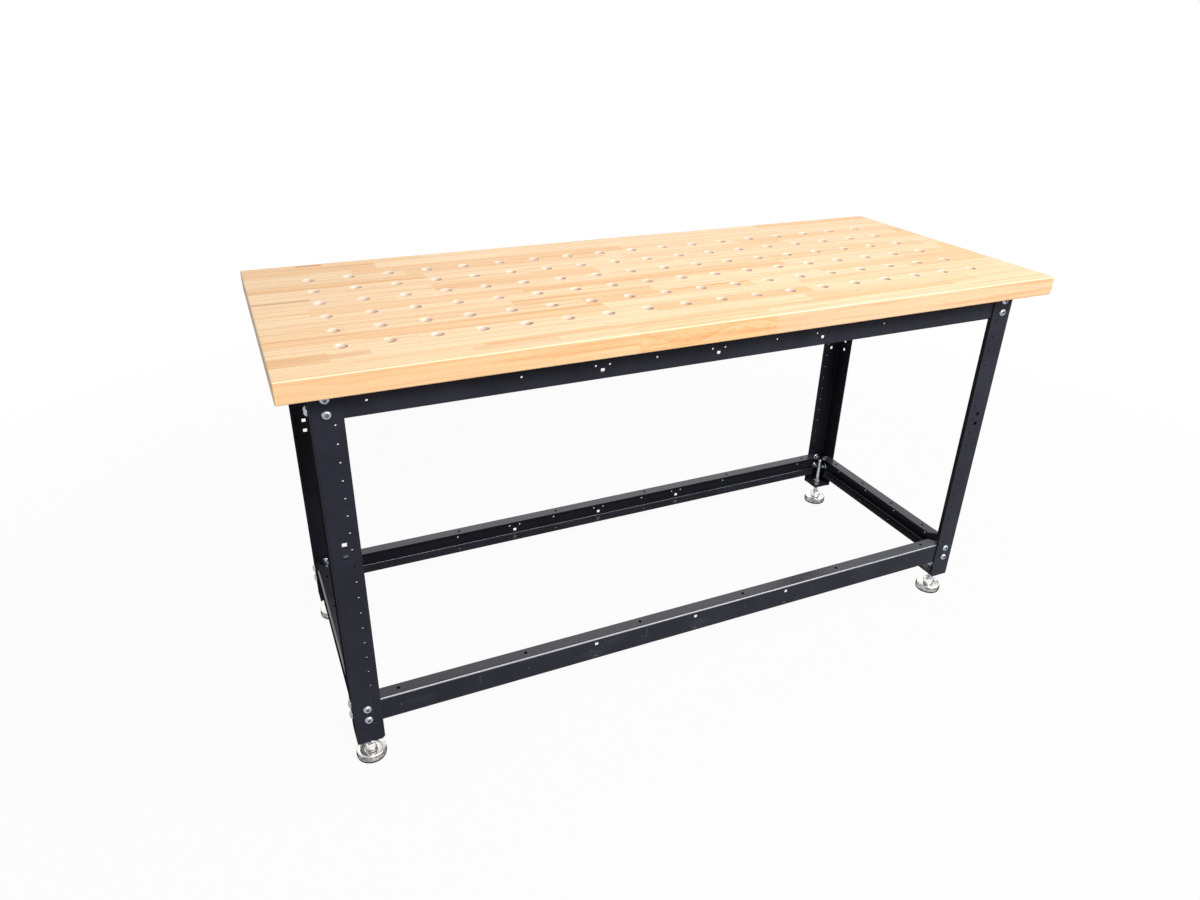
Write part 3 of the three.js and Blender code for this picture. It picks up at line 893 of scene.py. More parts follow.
def coat_material(name, settings, scuff_stretch, rubs=()):
    """Satin powder coat with a fine orange peel, scuffs along the piece and dust on its top faces.

    A rub is a mark at a stated place: its centre, its reach and its strength.
    """
    material, net, bsdf = new_material(name)
    coordinates = net.place()
    place = net.split(coordinates)
    facing = net.facing()
    upwards = facing["Z"]
    marks = handling_marks(net, scuff_stretch, blotch_scale=9.0, skin_scale=1100.0)
    blotch = marks["Blotch"]
    wear_and_sheen = settings.coat_wear_and_sheen
    shade = net.tint(net.ease(blotch, *BLOTCH_SPAN), settings.coat, (1.35, 1.35, 1.35))
    dust = net.times(net.ease(upwards, 0.6, 0.98), net.remap(blotch, 0.3, 0.75, 0.05, 0.30))
    shade = net.mix(dust, shade, wear_and_sheen)
    shade = net.mix(net.times(marks["Scuff"], 0.30), shade, wear_and_sheen)
    for centre, reach, share in rubs:
        shade = net.mix(net.times(rub_mark(net, coordinates, centre, reach), share), shade, wear_and_sheen)
    # Faces that look upwards are smoothed by rubbing, and the bends beside them shine most
    rubbed_and_sheen = net.ease(upwards, 0.15, 0.55)
    # Bends below the lower rails' middle get only a fifth of the painted highlight and gloss
    low, high = RAIL_MIDDLE - BEND_SHEEN_EDGE, RAIL_MIDDLE + BEND_SHEEN_EDGE
    bend_sheen_zone = net.remap(place["Z"], low, high, 0.2, 1.0)
    bend = net.times(rubbed_and_sheen, net.ease(upwards, 0.9, 0.985, 1.0, 0.0), bend_sheen_zone)
    # Painted highlight: the upward bends are lightened toward the wear colour, partly wear and
    # partly a painted highlight along the bend
    shade = net.mix(net.times(bend, 0.6), shade, wear_and_sheen)
    # Painted shade: faces that look in under the table are darkened, as shade falls there
    outwards = [net.times(facing[axis], net.maths("SIGN", place[axis])) for axis in "XY"]
    inside = net.ease(net.maths("MINIMUM", *outwards), -0.9, -0.4, 1.0, 0.0)
    shade = net.tint(inside, shade, (0.5, 0.5, 0.5))
    # Painted shade: the walls of holes and the insides of collars go nearly black and lose their
    # gloss
    recess = net.recess()
    roughness = net.remap(blotch, 0.3, 0.75, 0.33, 0.44)
    for mark, change in ((marks["Scuff"], 0.08), (rubbed_and_sheen, -0.12), (bend, 0.10)):
        roughness = net.scaled_sum(mark, change, roughness)
    # The fine texture shades itself where it is seen edge on
    gloss = net.ease(net.edge_on(), 0.45, 0.85, 0.018, 0.0)
    gloss = net.choose(bend, net.choose(rubbed_and_sheen, gloss, 0.17), 0.6)
    # The bends are too smooth to show the orange peel
    skin = net.times(marks["Skin"], net.rest(bend))
    finish = {
        "Base Color": net.mix(recess, shade, (0.004, 0.004, 0.005)),
        "Roughness": roughness,
        "Specular IOR Level": net.times(gloss, net.rest(recess)),
        "Specular Tint": opaque((0.92, 0.94, 1.0)),
        "IOR": 2.2,
        "Normal": net.bump(skin, amount=0.16, distance=0.0004),
    }
    net.fill(bsdf, finish)
    return material


def zinc_material(name, zinc):
    """Zinc plating with a faint bluish film and fine marks."""
    material, net, bsdf = new_material(name)
    marks = handling_marks(net, (300.0, 300.0, 900.0), blotch_scale=160.0, skin_scale=2200.0)
    shade = net.tint(net.ease(marks["Blotch"], *BLOTCH_SPAN), zinc, (0.72, 0.74, 0.78))
    roughness = net.remap(marks["Blotch"], 0.3, 0.75, 0.24, 0.40)
    finish = {
        # Painted shade darkens the inside of the bolts' sockets
        "Base Color": net.mix(net.times(net.recess(), 0.62), shade, (0.02, 0.024, 0.03)),
        "Metallic": 1.0,
        "Roughness": net.scaled_sum(marks["Scuff"], 0.1, roughness),
        "Normal": net.bump(marks["Skin"], amount=0.08, distance=0.0002),
    }
    net.fill(bsdf, finish)
    return material


def nickel_material(name, settings, foot_place):
    """Turned and plated foot pads: fine rings about each foot's own axis."""
    material, net, bsdf = new_material(name)
    coordinates = net.place()
    away = net.vector("SUBTRACT", net.vector("ABSOLUTE", coordinates)[0], foot_place)[0]
    radius = net.distance(net.vector("MULTIPLY", away, (1.0, 1.0, 0.0))[0])
    turned = net.maths("ADD", radius, net.split(coordinates)["Z"])
    rings = net.node(
        "ShaderNodeTexNoise",
        {"W": turned, "Scale": 1400.0, "Detail": 3.0, "Roughness": 0.7},
        noise_dimensions="1D",
    )["Fac"]
    marks = handling_marks(net, (500.0, 500.0, 60.0), blotch_scale=70.0, skin_scale=1500.0)
    blotch = marks["Blotch"]
    dull = net.mix(1.0, settings.nickel, (0.88, 0.87, 0.84), "MULTIPLY")
    shade = net.mix(net.ease(blotch, *BLOTCH_SPAN, 0.0, 0.9), settings.nickel, dull)
    shade = net.mix(net.ease(rings, 0.45, 0.75, 0.0, 0.5), shade, dull)
    # Painted shade and painted reflection: the outer wall gets a dark, uneven colour, darkest where
    # it is seen edge on
    upright = net.ease(net.size(net.facing()["Z"]), 0.3, 0.75, 1.0, 0.0)
    wall = net.times(upright, net.maths("GREATER_THAN", radius, settings.pad_wall))
    uneven = net.ease(blotch, 0.35, 0.65, -0.1, 0.9)
    uneven = net.maths("ADD", marks["Scuff"], uneven, clamp=True)
    painted_wall_shade = net.mix(uneven, (0.15, 0.14, 0.145), (0.62, 0.59, 0.58))
    painted_edge_shade = net.ease(net.edge_on(), 0.45, 0.9, 0.0, 0.9)
    painted_wall_shade = net.mix(painted_edge_shade, painted_wall_shade, (0.03, 0.028, 0.028))
    finish = {
        "Base Color": net.mix(net.times(wall, 0.9), shade, painted_wall_shade),
        "Specular Tint": net.mix(wall, WHITE, (0.12, 0.11, 0.11)),
        "Metallic": 1.0,
        "Roughness": net.choose(wall, net.remap(rings, 0.3, 0.7, 0.17, 0.27), 0.22),
        "Normal": net.bump(rings, amount=0.05, distance=0.0002),
    }
    net.fill(bsdf, finish)
    return material


def rubber_material(name, settings):
    """Matt black rubber with a little dust."""
    material, net, bsdf = new_material(name)
    marks = handling_marks(net, (90.0, 90.0, 400.0), blotch_scale=60.0, skin_scale=1600.0)
    dust = net.ease(marks["Blotch"], *BLOTCH_SPAN)
    finish = {
        "Base Color": net.tint(dust, settings.rubber, (2.2, 2.1, 2.0)),
        "Roughness": net.remap(marks["Blotch"], 0.3, 0.7, 0.68, 0.85),
        "Normal": net.bump(marks["Skin"], amount=0.3, distance=0.0004),
    }
    net.fill(bsdf, finish)
    return material


# Geometry Nodes


def geometry_tree(name, inputs):
    """A Geometry Nodes tree. Returns its net, its named input sockets and its output node."""
    tree = bpy.data.node_groups.new(name, "GeometryNodeTree")
    for socket, kind in {"Geometry": "Geometry", **inputs}.items():
        tree.interface.new_socket(socket, in_out="INPUT", socket_type="NodeSocket" + kind)
    tree.interface.new_socket("Geometry", in_out="OUTPUT", socket_type="NodeSocketGeometry")
    return Net(tree), tree.nodes.new("NodeGroupInput").outputs, tree.nodes.new("NodeGroupOutput")


def bored_top_tree(name):
    """Bores a grid of dog holes with eased rims through a slab."""
    inputs = {
        "Columns": "Int",
        "Rows": "Int",
        "Span X": "Float",
        "Span Y": "Float",
        "Height": "Float",
        "Bit": "Object",
        "Hole Zone X": "Float",
        "Hole Zone Y": "Float",
        "Wood": "Material",
        "Bored Wood": "Material",
    }
    net, given, made = geometry_tree(name, inputs)
    sizes = [given[size] for size in ("Span X", "Span Y", "Columns", "Rows")]
    grid = net.node("GeometryNodeMeshGrid", dict(enumerate(sizes)))["Mesh"]
    lift = net.join(0.0, 0.0, given["Height"])
    grid = net.node("GeometryNodeTransform", {"Geometry": grid, "Translation": lift})[0]
    bits = net.realised(net.on_points(grid, net.shape(given["Bit"])))
    wooden = net.finished(net.cut(given["Geometry"], bits), given["Wood"])
    place = net.split(net.node("GeometryNodeInputPosition")[0])
    normal = net.split(net.node("GeometryNodeInputNormal")[0])
    walls = net.maths("LESS_THAN", net.size(normal["Z"]), 0.9)
    for axis in "XY":
        zone = net.maths("LESS_THAN", net.size(place[axis]), given["Hole Zone " + axis])
        walls = net.times(walls, zone)
    bored = {"Geometry": wooden, "Selection": walls, "Material": given["Bored Wood"]}
    net.fill(made, {"Geometry": net.node("GeometryNodeSetMaterial", bored)[0]})
    return net.tree


def punched_sheet_tree(name):
    """Trims a bent sheet and punches its holes, which come as points with a facing and a size."""
    inputs = {"Hole Points": "Object", "Trim": "Object", "Round Sides": "Int", "Finish": "Material"}
    net, given, made = geometry_tree(name, inputs)
    points = net.shape(given["Hole Points"])
    square = net.attribute("square", "BOOLEAN")
    round_only = net.node("FunctionNodeBooleanMath", {0: square}, operation="NOT")[0]
    turn = net.turn()
    size = net.attribute("size", "FLOAT_VECTOR")
    cylinder = {"Vertices": given["Round Sides"], "Radius": 0.5, "Depth": 1.0}
    round_punch = net.node("GeometryNodeMeshCylinder", cylinder)["Mesh"]
    square_punch = net.node("GeometryNodeMeshCube")["Mesh"]
    tools = []
    for shape, chosen in ((round_punch, round_only), (square_punch, square)):
        placed = net.on_points(points, shape, Selection=chosen, Rotation=turn, Scale=size)
        tools.append(net.realised(placed))
    tools.append(net.shape(given["Trim"]))
    net.fill(made, {"Geometry": net.finished(net.cut(given["Geometry"], tools), given["Finish"])})
    return net.tree


def fasteners_tree(name):
    """Puts one fastener on each point, turned about its own axis by chance with a fixed seed."""
    net, given, made = geometry_tree(
        name, {"Fastener": "Object", "Seed": "Int", "Finish": "Material"}
    )
    limits = {3: math.tau, "Seed": given["Seed"]}
    chance = net.node("FunctionNodeRandomValue", limits, data_type="FLOAT")[1]
    spin = net.node("FunctionNodeAxisAngleToRotation", {"Axis": AXES[2], "Angle": chance})[0]
    both = {"Rotation": net.turn(), "Rotate By": spin}
    turn = net.node("FunctionNodeRotateRotation", both, rotation_space="LOCAL")[0]
    placed = net.on_points(given["Geometry"], net.shape(given["Fastener"]), Rotation=turn)
    net.fill(made, {"Geometry": net.finished(placed, given["Finish"])})
    return net.tree


def threaded_rod_tree(name):
    """Winds a thread round a turned core."""
    inputs = {
        "Turns": "Float",
        "Length": "Float",
        "Core Radius": "Float",
        "Ridge": "Float",
        "Centre": "Vector",
        "Finish": "Material",
    }
    net, given, made = geometry_tree(name, inputs)
    winding = {
        "Resolution": THREAD_STEPS,
        "Rotations": given["Turns"],
        "Start Radius": given["Core Radius"],
        "End Radius": given["Core Radius"],
        "Height": given["Length"],
    }
    spiral = net.node("GeometryNodeCurveSpiral", winding)[0]
    section = {"Resolution": RIDGE_SIDES, "Radius": given["Ridge"]}
    ridge = net.node("GeometryNodeCurvePrimitiveCircle", section)[0]
    swept = {"Curve": spiral, "Profile Curve": ridge, "Fill Caps": True}
    thread = net.node("GeometryNodeCurveToMesh", swept)[0]
    moved = {"Geometry": thread, "Translation": given["Centre"]}
    thread = net.node("GeometryNodeTransform", moved)[0]
    both = net.node("GeometryNodeJoinGeometry", {0: [thread, given["Geometry"]]})[0]
    net.fill(made, {"Geometry": net.finished(both, given["Finish"])})
    return net.tree


def run_tree(piece, name, make, values):
    """Runs a Geometry Nodes tree on a piece and keeps the result as its plain mesh."""
    tree = shared(bpy.data.node_groups, name, make)
    modifier = piece.modifiers.new(name, "NODES")
    modifier.node_group = tree
    sockets = tree.interface.items_tree
    identifiers = {item.name: item.identifier for item in sockets if item.in_out == "INPUT"}
    for socket, value in values.items():
        modifier[identifiers[socket]] = value
    bake(piece)


def bake(piece):
    """Keeps what a piece's modifiers make of it as its plain mesh."""
    bpy.context.view_layer.update()
    depsgraph = bpy.context.evaluated_depsgraph_get()
    evaluated = piece.evaluated_get(depsgraph)
    mesh = bpy.data.meshes.new_from_object(evaluated, depsgraph=depsgraph)
    piece.modifiers.clear()
    old = piece.data
    piece.data = mesh
    bpy.data.meshes.remove(old)
    mesh.name = piece.name


# Mesh helpers


def new_object(name, data):
    """A new object at the origin, in the scene."""
    made = bpy.data.objects.new(name, data)
    bpy.context.scene.collection.objects.link(made)
    return made


def new_piece(name, bm):
    """A new object from a bmesh, with doubles merged and faces pointing outwards."""
    bmesh.ops.remove_doubles(bm, verts=bm.verts, dist=1e-7)
    bmesh.ops.recalc_face_normals(bm, faces=bm.faces)
    mesh = bpy.data.meshes.new(name)
    bm.to_mesh(mesh)
    bm.free()
    return new_object(name, mesh)


def remove_helper(helper):
    """Takes away an object that only shaped a piece."""
    mesh = helper.data
    bpy.data.objects.remove(helper)
    bpy.data.meshes.remove(mesh)


def smooth(piece, degrees):
    """Smooth shading, with edges sharper than the angle kept sharp."""
    piece.data.shade_smooth()
    piece.data.set_sharp_from_angle(angle=math.radians(degrees))
    # Large flat faces keep their own direction beside small bends
    weighted = piece.modifiers.new("flat_faces", "WEIGHTED_NORMAL")
    weighted.keep_sharp = True
    bake(piece)


def finish_piece(piece, body, nodes):
    """Ties a finished piece to its body and the CAD nodes it stands for."""
    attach(piece, body)
    if nodes:
        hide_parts(*nodes)


def arc(centre, radius, start, end, steps):
    """Points along an arc, angles in degrees."""
    angles = [math.radians(start + (end - start) * i / steps) for i in range(steps + 1)]
    return [(centre[0] + radius * math.cos(a), centre[1] + radius * math.sin(a)) for a in angles]


def add_prism(bm, outline, low, high, place):
    """A closed prism: an outline carried from low to high, and put in place by a function."""
    bottom = [bm.verts.new(place(u, v, low)) for u, v in outline]
    top = [bm.verts.new(place(u, v, high)) for u, v in outline]
    bm.faces.new(bottom)
    bm.faces.new(list(reversed(top)))
    for i in range(len(outline)):
        j = (i + 1) % len(outline)
        bm.faces.new((bottom[j], bottom[i], top[i], top[j]))


def hexagon_factor(turn):
    """How far a hexagon's side lies out at an angle, for one across its flats."""
    return 0.5 / math.cos((turn + math.pi / 6) % (math.pi / 3) - math.pi / 6)


def turned_piece(name, rings, sides, centre=(0.0, 0.0), hollow=False):
    """A closed turned shape. A ring is a radius and a height.

    A ring with the mark of a hexagon is a size across flats and a height. In a hollow shape the
    last ring joins the first.
    """
    bm = bmesh.new()
    made = []
    turns = [math.tau * i / sides for i in range(sides)]
    for size, height, *hexagon in rings:
        if size == 0.0:
            made.append([bm.verts.new((*centre, height))])
            continue
        ring = []
        for turn in turns:
            reach = size * hexagon_factor(turn) if hexagon else size
            x, y = reach * math.cos(turn), reach * math.sin(turn)
            ring.append(bm.verts.new((centre[0] + x, centre[1] + y, height)))
        made.append(ring)
    following = made[1:] + made[:1] if hollow else made[1:]
    for first, second in zip(made, following):
        for i in range(sides):
            j = (i + 1) % sides
            if len(first) == 1:
                bm.faces.new((first[0], second[i], second[j]))
            elif len(second) == 1:
                bm.faces.new((first[i], second[0], first[j]))
            else:
                bm.faces.new((first[i], second[i], second[j], first[j]))
    return new_piece(name, bm)


def finish_turned(piece, material, crease, body, nodes):
    """Gives a turned piece its finish and ties it to its body."""
    piece.data.materials.append(material)
    smooth(piece, crease)
    finish_piece(piece, body, nodes)


def add_tube(bm, profile, sides, centre):
    """A closed ring: a profile of radii and heights carried once round an upright axis."""
    made = []
    for i in range(sides):
        turn = math.tau * i / sides
        x, y = math.cos(turn), math.sin(turn)
        made.append([bm.verts.new((centre.x + r * x, centre.y + r * y, z)) for r, z in profile])
    for i, first in enumerate(made):
        second = made[(i + 1) % sides]
        for j in range(len(profile)):
            k = (j + 1) % len(profile)
            bm.faces.new((first[j], first[k], second[k], second[j]))
    return made


def points_object(name, rows):
    """Loose points. Each row is a place, a facing, a size and whether the hole is square."""
    mesh = bpy.data.meshes.new(name)
    mesh.from_pydata([row[0] for row in rows], [], [])
    facing = mesh.attributes.new("facing", "FLOAT_VECTOR", "POINT")
    size = mesh.attributes.new("size", "FLOAT_VECTOR", "POINT")
    square = mesh.attributes.new("square", "BOOLEAN", "POINT")
    for i, row in enumerate(rows):
        facing.data[i].vector = row[1]
        size.data[i].vector = row[2]
        square.data[i].value = row[3]
    return new_object(name, mesh)


def spread(number, pitch):
    """Places at an equal pitch about zero."""
    return [(i - (number - 1) / 2) * pitch for i in range(number)]


def centre_of(node):
    """The middle of a CAD node's box."""
    low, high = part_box(node)
    return (low + high) / 2


def corner_place(sides):
    """Carries a corner's own coordinates, inwards from its outer corner, to the table's."""
    corner_x, corner_y = [side * size / 2 for side, size in zip(sides, BASE_SIZE)]

    def place(u, v, w):
        return Vector((corner_x - sides[0] * u, corner_y - sides[1] * v, w))

    return place


# Pieces


def make_top(settings):
    """The drilled slab."""
    bm = bmesh.new()
    outline = [
        (TOP_LOW.x, TOP_LOW.y),
        (TOP_HIGH.x, TOP_LOW.y),
        (TOP_HIGH.x, TOP_HIGH.y),
        (TOP_LOW.x, TOP_HIGH.y),
    ]
    add_prism(bm, outline, TOP_LOW.z, TOP_HIGH.z, lambda *point: Vector(point))
    rounding = {"offset": settings.edge_radius, "segments": 4, "profile": 0.5, "affect": "EDGES"}
    bmesh.ops.bevel(bm, geom=list(bm.edges), **rounding)
    top = new_piece("table_top", bm)
    radius = settings.hole_diameter / 2
    chamfer = settings.hole_chamfer
    half = (TOP_HIGH.z - TOP_LOW.z) / 2
    past = 0.002
    rings = [
        (0.0, -half - past),
        (radius + chamfer + past, -half - past),
        (radius, -half + chamfer),
        (radius, half - chamfer),
        (radius + chamfer + past, half + past),
        (0.0, half + past),
    ]
    bit = turned_piece("dog_hole_bit", rings, settings.hole_sides)
    values = {
        "Columns": settings.hole_columns,
        "Rows": settings.hole_rows,
        "Span X": (settings.hole_columns - 1) * settings.hole_pitch,
        "Span Y": (settings.hole_rows - 1) * settings.hole_pitch,
        "Height": TOP_LOW.z + half,
        "Bit": bit,
        "Hole Zone X": TOP_HIGH.x - 2 * settings.edge_radius,
        "Hole Zone Y": TOP_HIGH.y - 2 * settings.edge_radius,
        "Wood": wood_material("laminated_wood", settings),
        "Bored Wood": bored_material("bored_wood", settings),
    }
    run_tree(top, "Bored top", bored_top_tree, values)
    remove_helper(bit)
    smooth(top, TURNED_CREASE)
    finish_piece(top, "frame", ["bench_top"])


def punch(piece, settings, rows, trim_shape, material):
    """Trims a bent sheet and punches its holes."""
    trim = new_piece("sheet_trim", trim_shape)
    points = points_object("sheet_holes", rows)
    sides = settings.hole_sides
    values = {"Hole Points": points, "Trim": trim, "Round Sides": sides, "Finish": material}
    run_tree(piece, "Punched sheet", punched_sheet_tree, values)
    remove_helper(points)
    remove_helper(trim)


def punch_size(settings, across):
    """The size of a punch for a round or square hole."""
    return (across, across, PUNCH_DEPTH * settings.sheet)


def angle_outline(settings, flange):
    """A leg's bent section: two flanges from the outer corner."""
    outer = settings.bend_radius
    inner = outer - settings.sheet
    steps = settings.bend_steps
    return [
        (flange, 0.0),
        (flange, settings.sheet),
        *arc((outer, outer), inner, 270, 180, steps),
        (settings.sheet, flange),
        (0.0, flange),
        *arc((outer, outer), outer, 180, 270, steps),
    ]


def leg_holes(settings, place, middle):
    """Points of all holes punched in one leg's flanges."""
    row = punch_size(settings, settings.leg_row_hole)
    bolt = punch_size(settings, settings.bolt_hole)
    square = punch_size(settings, settings.leg_square)
    holes = []
    for i in range(settings.leg_row_count):
        level = LEG_LOW.z + settings.leg_row_start + i * settings.leg_row_pitch
        holes.append((settings.leg_row_inset, level, row, False))
    for rail in ("rail_lower_front", "rail_upper_front"):
        level = sum(corner.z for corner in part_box(rail)) / 2
        holes += [(middle, level + up, bolt, False) for up in spread(2, settings.bolt_pitch)]
    for drop in (settings.leg_square_drop, settings.leg_square_drop + settings.leg_square_pitch):
        holes.append((middle, LEG_HIGH.z - drop, square, True))
    rows = []
    for along, level, size, is_square in holes:
        rows.append((place(along, settings.sheet / 2, level), AXES[1], size, is_square))
        rows.append((place(settings.sheet / 2, along, level), AXES[0], size, is_square))
    return rows


def mark_hole_walls(piece, rows):
    """Marks the walls of the punched holes for painted shade, which darkens them nearly to black.
    """
    recess = piece.data.attributes.new("recess", "FLOAT", "FACE")
    for face, mark in zip(piece.data.polygons, recess.data):
        for place, facing, size, _ in rows:
            away = face.center - place
            axis = Vector(facing)
            along = away.dot(axis)
            beside = (away - axis * along).length
            if abs(along) < size[2] / 2 and beside < HOLE_REACH * size[0]:
                mark.value = float(abs(face.normal.dot(axis)) < 0.5)
                break


def make_leg(settings, foot, name, material):
    """One leg: bent angle with its holes and foot plate."""
    place = corner_place(CORNERS[name])
    low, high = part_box("leg_" + name)
    flange = high.x - low.x
    middle = flange / 2
    sheet = settings.sheet
    cut = settings.corner_cut
    bm = bmesh.new()
    add_prism(bm, angle_outline(settings, flange), low.z, high.z, place)
    start = sheet + FIT_GAP
    past_bend = start + settings.bend_radius - sheet
    plate_low = low.z + cut
    plate_high = plate_low + settings.plate_thickness
    plate = [
        (past_bend, start),
        (flange, start),
        (flange, flange),
        (start, flange),
        (start, past_bend),
    ]
    add_prism(bm, plate, plate_low, plate_high, place)
    leg = new_piece("leg_sheet_" + name, bm)
    rows = leg_holes(settings, place, middle)
    clear = foot.stud_diameter + STUD_CLEARANCE
    stud_hole = (clear, clear, PLATE_PUNCH)
    rows.append((place(middle, middle, plate_high), AXES[2], stud_hole, False))
    trim = bmesh.new()
    wedge = [
        (flange - 2 * cut, low.z - cut),
        (flange + cut, low.z + 2 * cut),
        (flange + 3 * cut, low.z - cut),
    ]
    add_prism(trim, wedge, -sheet, 2 * sheet, lambda u, v, w: place(u, w, v))
    add_prism(trim, wedge, -sheet, 2 * sheet, lambda u, v, w: place(w, u, v))
    punch(leg, settings, rows, trim, material)
    mark_hole_walls(leg, rows)
    smooth(leg, SHEET_CREASE)
    finish_piece(leg, "frame", ["leg_" + name])


def channel_outline(settings, flange, height):
    """A rail's bent section, from its outer face inwards and about its middle height."""
    half = height / 2
    outer = settings.bend_radius
    inner = outer - settings.sheet
    steps = settings.bend_steps
    return [
        (flange, -half),
        (flange, -half + settings.sheet),
        *arc((outer, -half + outer), inner, 270, 180, steps),
        *arc((outer, half - outer), inner, 180, 90, steps),
        (flange, half - settings.sheet),
        (flange, half),
        *arc((outer, half - outer), outer, 90, 180, steps),
        *arc((outer, -half + outer), outer, 180, 270, steps),
    ]


def cope_outline(settings, span, end, flange):
    """What is cut from both flanges at one end of a rail, seen from above."""
    corner = end * span / 2
    beyond = corner + end * COPE_PAST_END
    start = settings.sheet
    past = flange + settings.sheet
    curve = []
    for i in range(COPE_STEPS + 1):
        t = i / COPE_STEPS
        along = settings.cope_start + t * (settings.cope_end - settings.cope_start)
        curve.append((corner - end * along, start + t * t * (past - start)))
    return [(beyond, start), *curve, (beyond, past)]


def rail_face(name):
    """How far a rail's outer face lies from the table's middle."""
    axis, side, _ = RAILS[name]
    low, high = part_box(name)
    return high[axis] if side > 0 else -low[axis]


def rail_hole_places(settings, axis):
    """Places along a rail of its evenly spaced holes."""
    number = settings.long_rail_holes if axis else settings.short_rail_holes
    return spread(number, (BASE_SIZE[1 - axis] - 2 * settings.rail_hole_inset) / (number - 1))


def rail_holes(settings, axis, height, square_offset):
    """Holes of one rail in its own coordinates.

    Each is a place along, inwards and up, a facing, a size and whether it is square.
    """
    web = settings.sheet / 2
    outwards = AXES[axis]
    small = punch_size(settings, settings.rail_hole)
    wide = punch_size(settings, settings.flange_hole)
    bolt = punch_size(settings, settings.bolt_hole)
    square = punch_size(settings, settings.leg_square)
    slot = (settings.slot_length, settings.slot_height, PUNCH_DEPTH * settings.sheet)
    level = (height - settings.sheet) / 2
    holes = []
    for along in rail_hole_places(settings, axis):
        holes.append(((along, web, 0.0), outwards, small, False))
        for up in (-level, level):
            holes.append(((along, settings.rail_hole_from_web, up), AXES[2], wide, False))
    leg = BASE_SIZE[1 - axis] / 2 - LEG_MIDDLE
    for along, up in itertools.product((-leg, leg), spread(2, settings.bolt_pitch)):
        holes.append(((along, web, up), outwards, bolt, False))
    for along in spread(3, settings.square_pitch) if axis else ():
        holes.append(((along, web, square_offset), outwards, square, True))
        holes.append(((along, web, -settings.slot_offset), outwards, slot, True))
        for beside in (-settings.side_hole_offset, settings.side_hole_offset):
            holes.append(((along + beside, web, 0.0), outwards, small, False))
    return holes


def add_collars(settings, rail, places, profile):
    """Threaded collars in the holes of a rail's flange.

    profile holds radii and heights from the flange's middle.
    """
    inner = min(radius for radius, _ in profile)
    shape = bmesh.new()
    shape.from_mesh(rail.data)
    marks = shape.verts.layers.float
    recess = marks.get("recess") or marks.new("recess")
    shape.faces.ensure_lookup_table()
    finish = shape.faces[0].material_index
    for place in places:
        rows = [(radius, place.z + level) for radius, level in profile]
        for section in add_tube(shape, rows, settings.hole_sides, place):
            for vertex, (radius, _) in zip(section, rows):
                # The inner wall is marked for painted shade, which darkens it
                vertex[recess] = float(radius == inner)
                for face in vertex.link_faces:
                    face.material_index = finish
    shape.to_mesh(rail.data)
    shape.free()


def line_flange_holes(settings, rail, places, middle):
    """Presses collars into a lower rail's upper flange and lines the holes of its lower one."""
    half = settings.sheet / 2
    hole = settings.flange_hole / 2 - COLLAR_GAP
    outer = settings.collar_diameter / 2
    top = half - COLLAR_DROP
    bottom = -half - settings.collar_height
    inner = hole - COLLAR_WALL
    pressed = [
        (inner, top),
        (hole, top),
        (hole, -half),
        (outer, -half),
        (outer, bottom),
        (inner, bottom),
    ]
    narrow = settings.rail_hole / 2
    plain = [(narrow, top), (hole, top), (hole, -half), (narrow, -half)]
    add_collars(settings, rail, [place for place in places if place.z > middle], pressed)
    add_collars(settings, rail, [place for place in places if place.z < middle], plain)


def make_rail(settings, name, material):
    """One bent channel with coped ends and punched holes."""
    axis, side, squares_up = RAILS[name]
    low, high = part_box(name)
    height = high.z - low.z
    middle = (low.z + high.z) / 2
    outer = rail_face(name)
    flange = high[axis] - low[axis]
    half = high[1 - axis]

    def place(along, inwards, up):
        across = side * (outer - inwards)
        level = middle + squares_up * up
        return Vector((along, across, level) if axis else (across, side * along, level))

    bm = bmesh.new()
    outline = channel_outline(settings, flange, height)
    add_prism(bm, outline, -half, half, lambda u, v, w: place(w, u, v))
    rail = new_piece(name.replace("rail_", "rail_sheet_"), bm)
    square_offset = settings.upper_square if "upper" in name else settings.lower_square
    holes = rail_holes(settings, axis, height, square_offset)
    rows = [(place(*where), *rest) for where, *rest in holes]
    trim = bmesh.new()
    for end in (-1, 1):
        cope = cope_outline(settings, BASE_SIZE[1 - axis], end, flange)
        add_prism(trim, cope, -height, height, place)
    punch(rail, settings, rows, trim, material)
    if "lower" in name:
        in_flanges = [where for where, facing, *_ in rows if facing == AXES[2]]
        line_flange_holes(settings, rail, in_flanges, middle)
    smooth(rail, SHEET_CREASE)
    finish_piece(rail, "frame", [name])


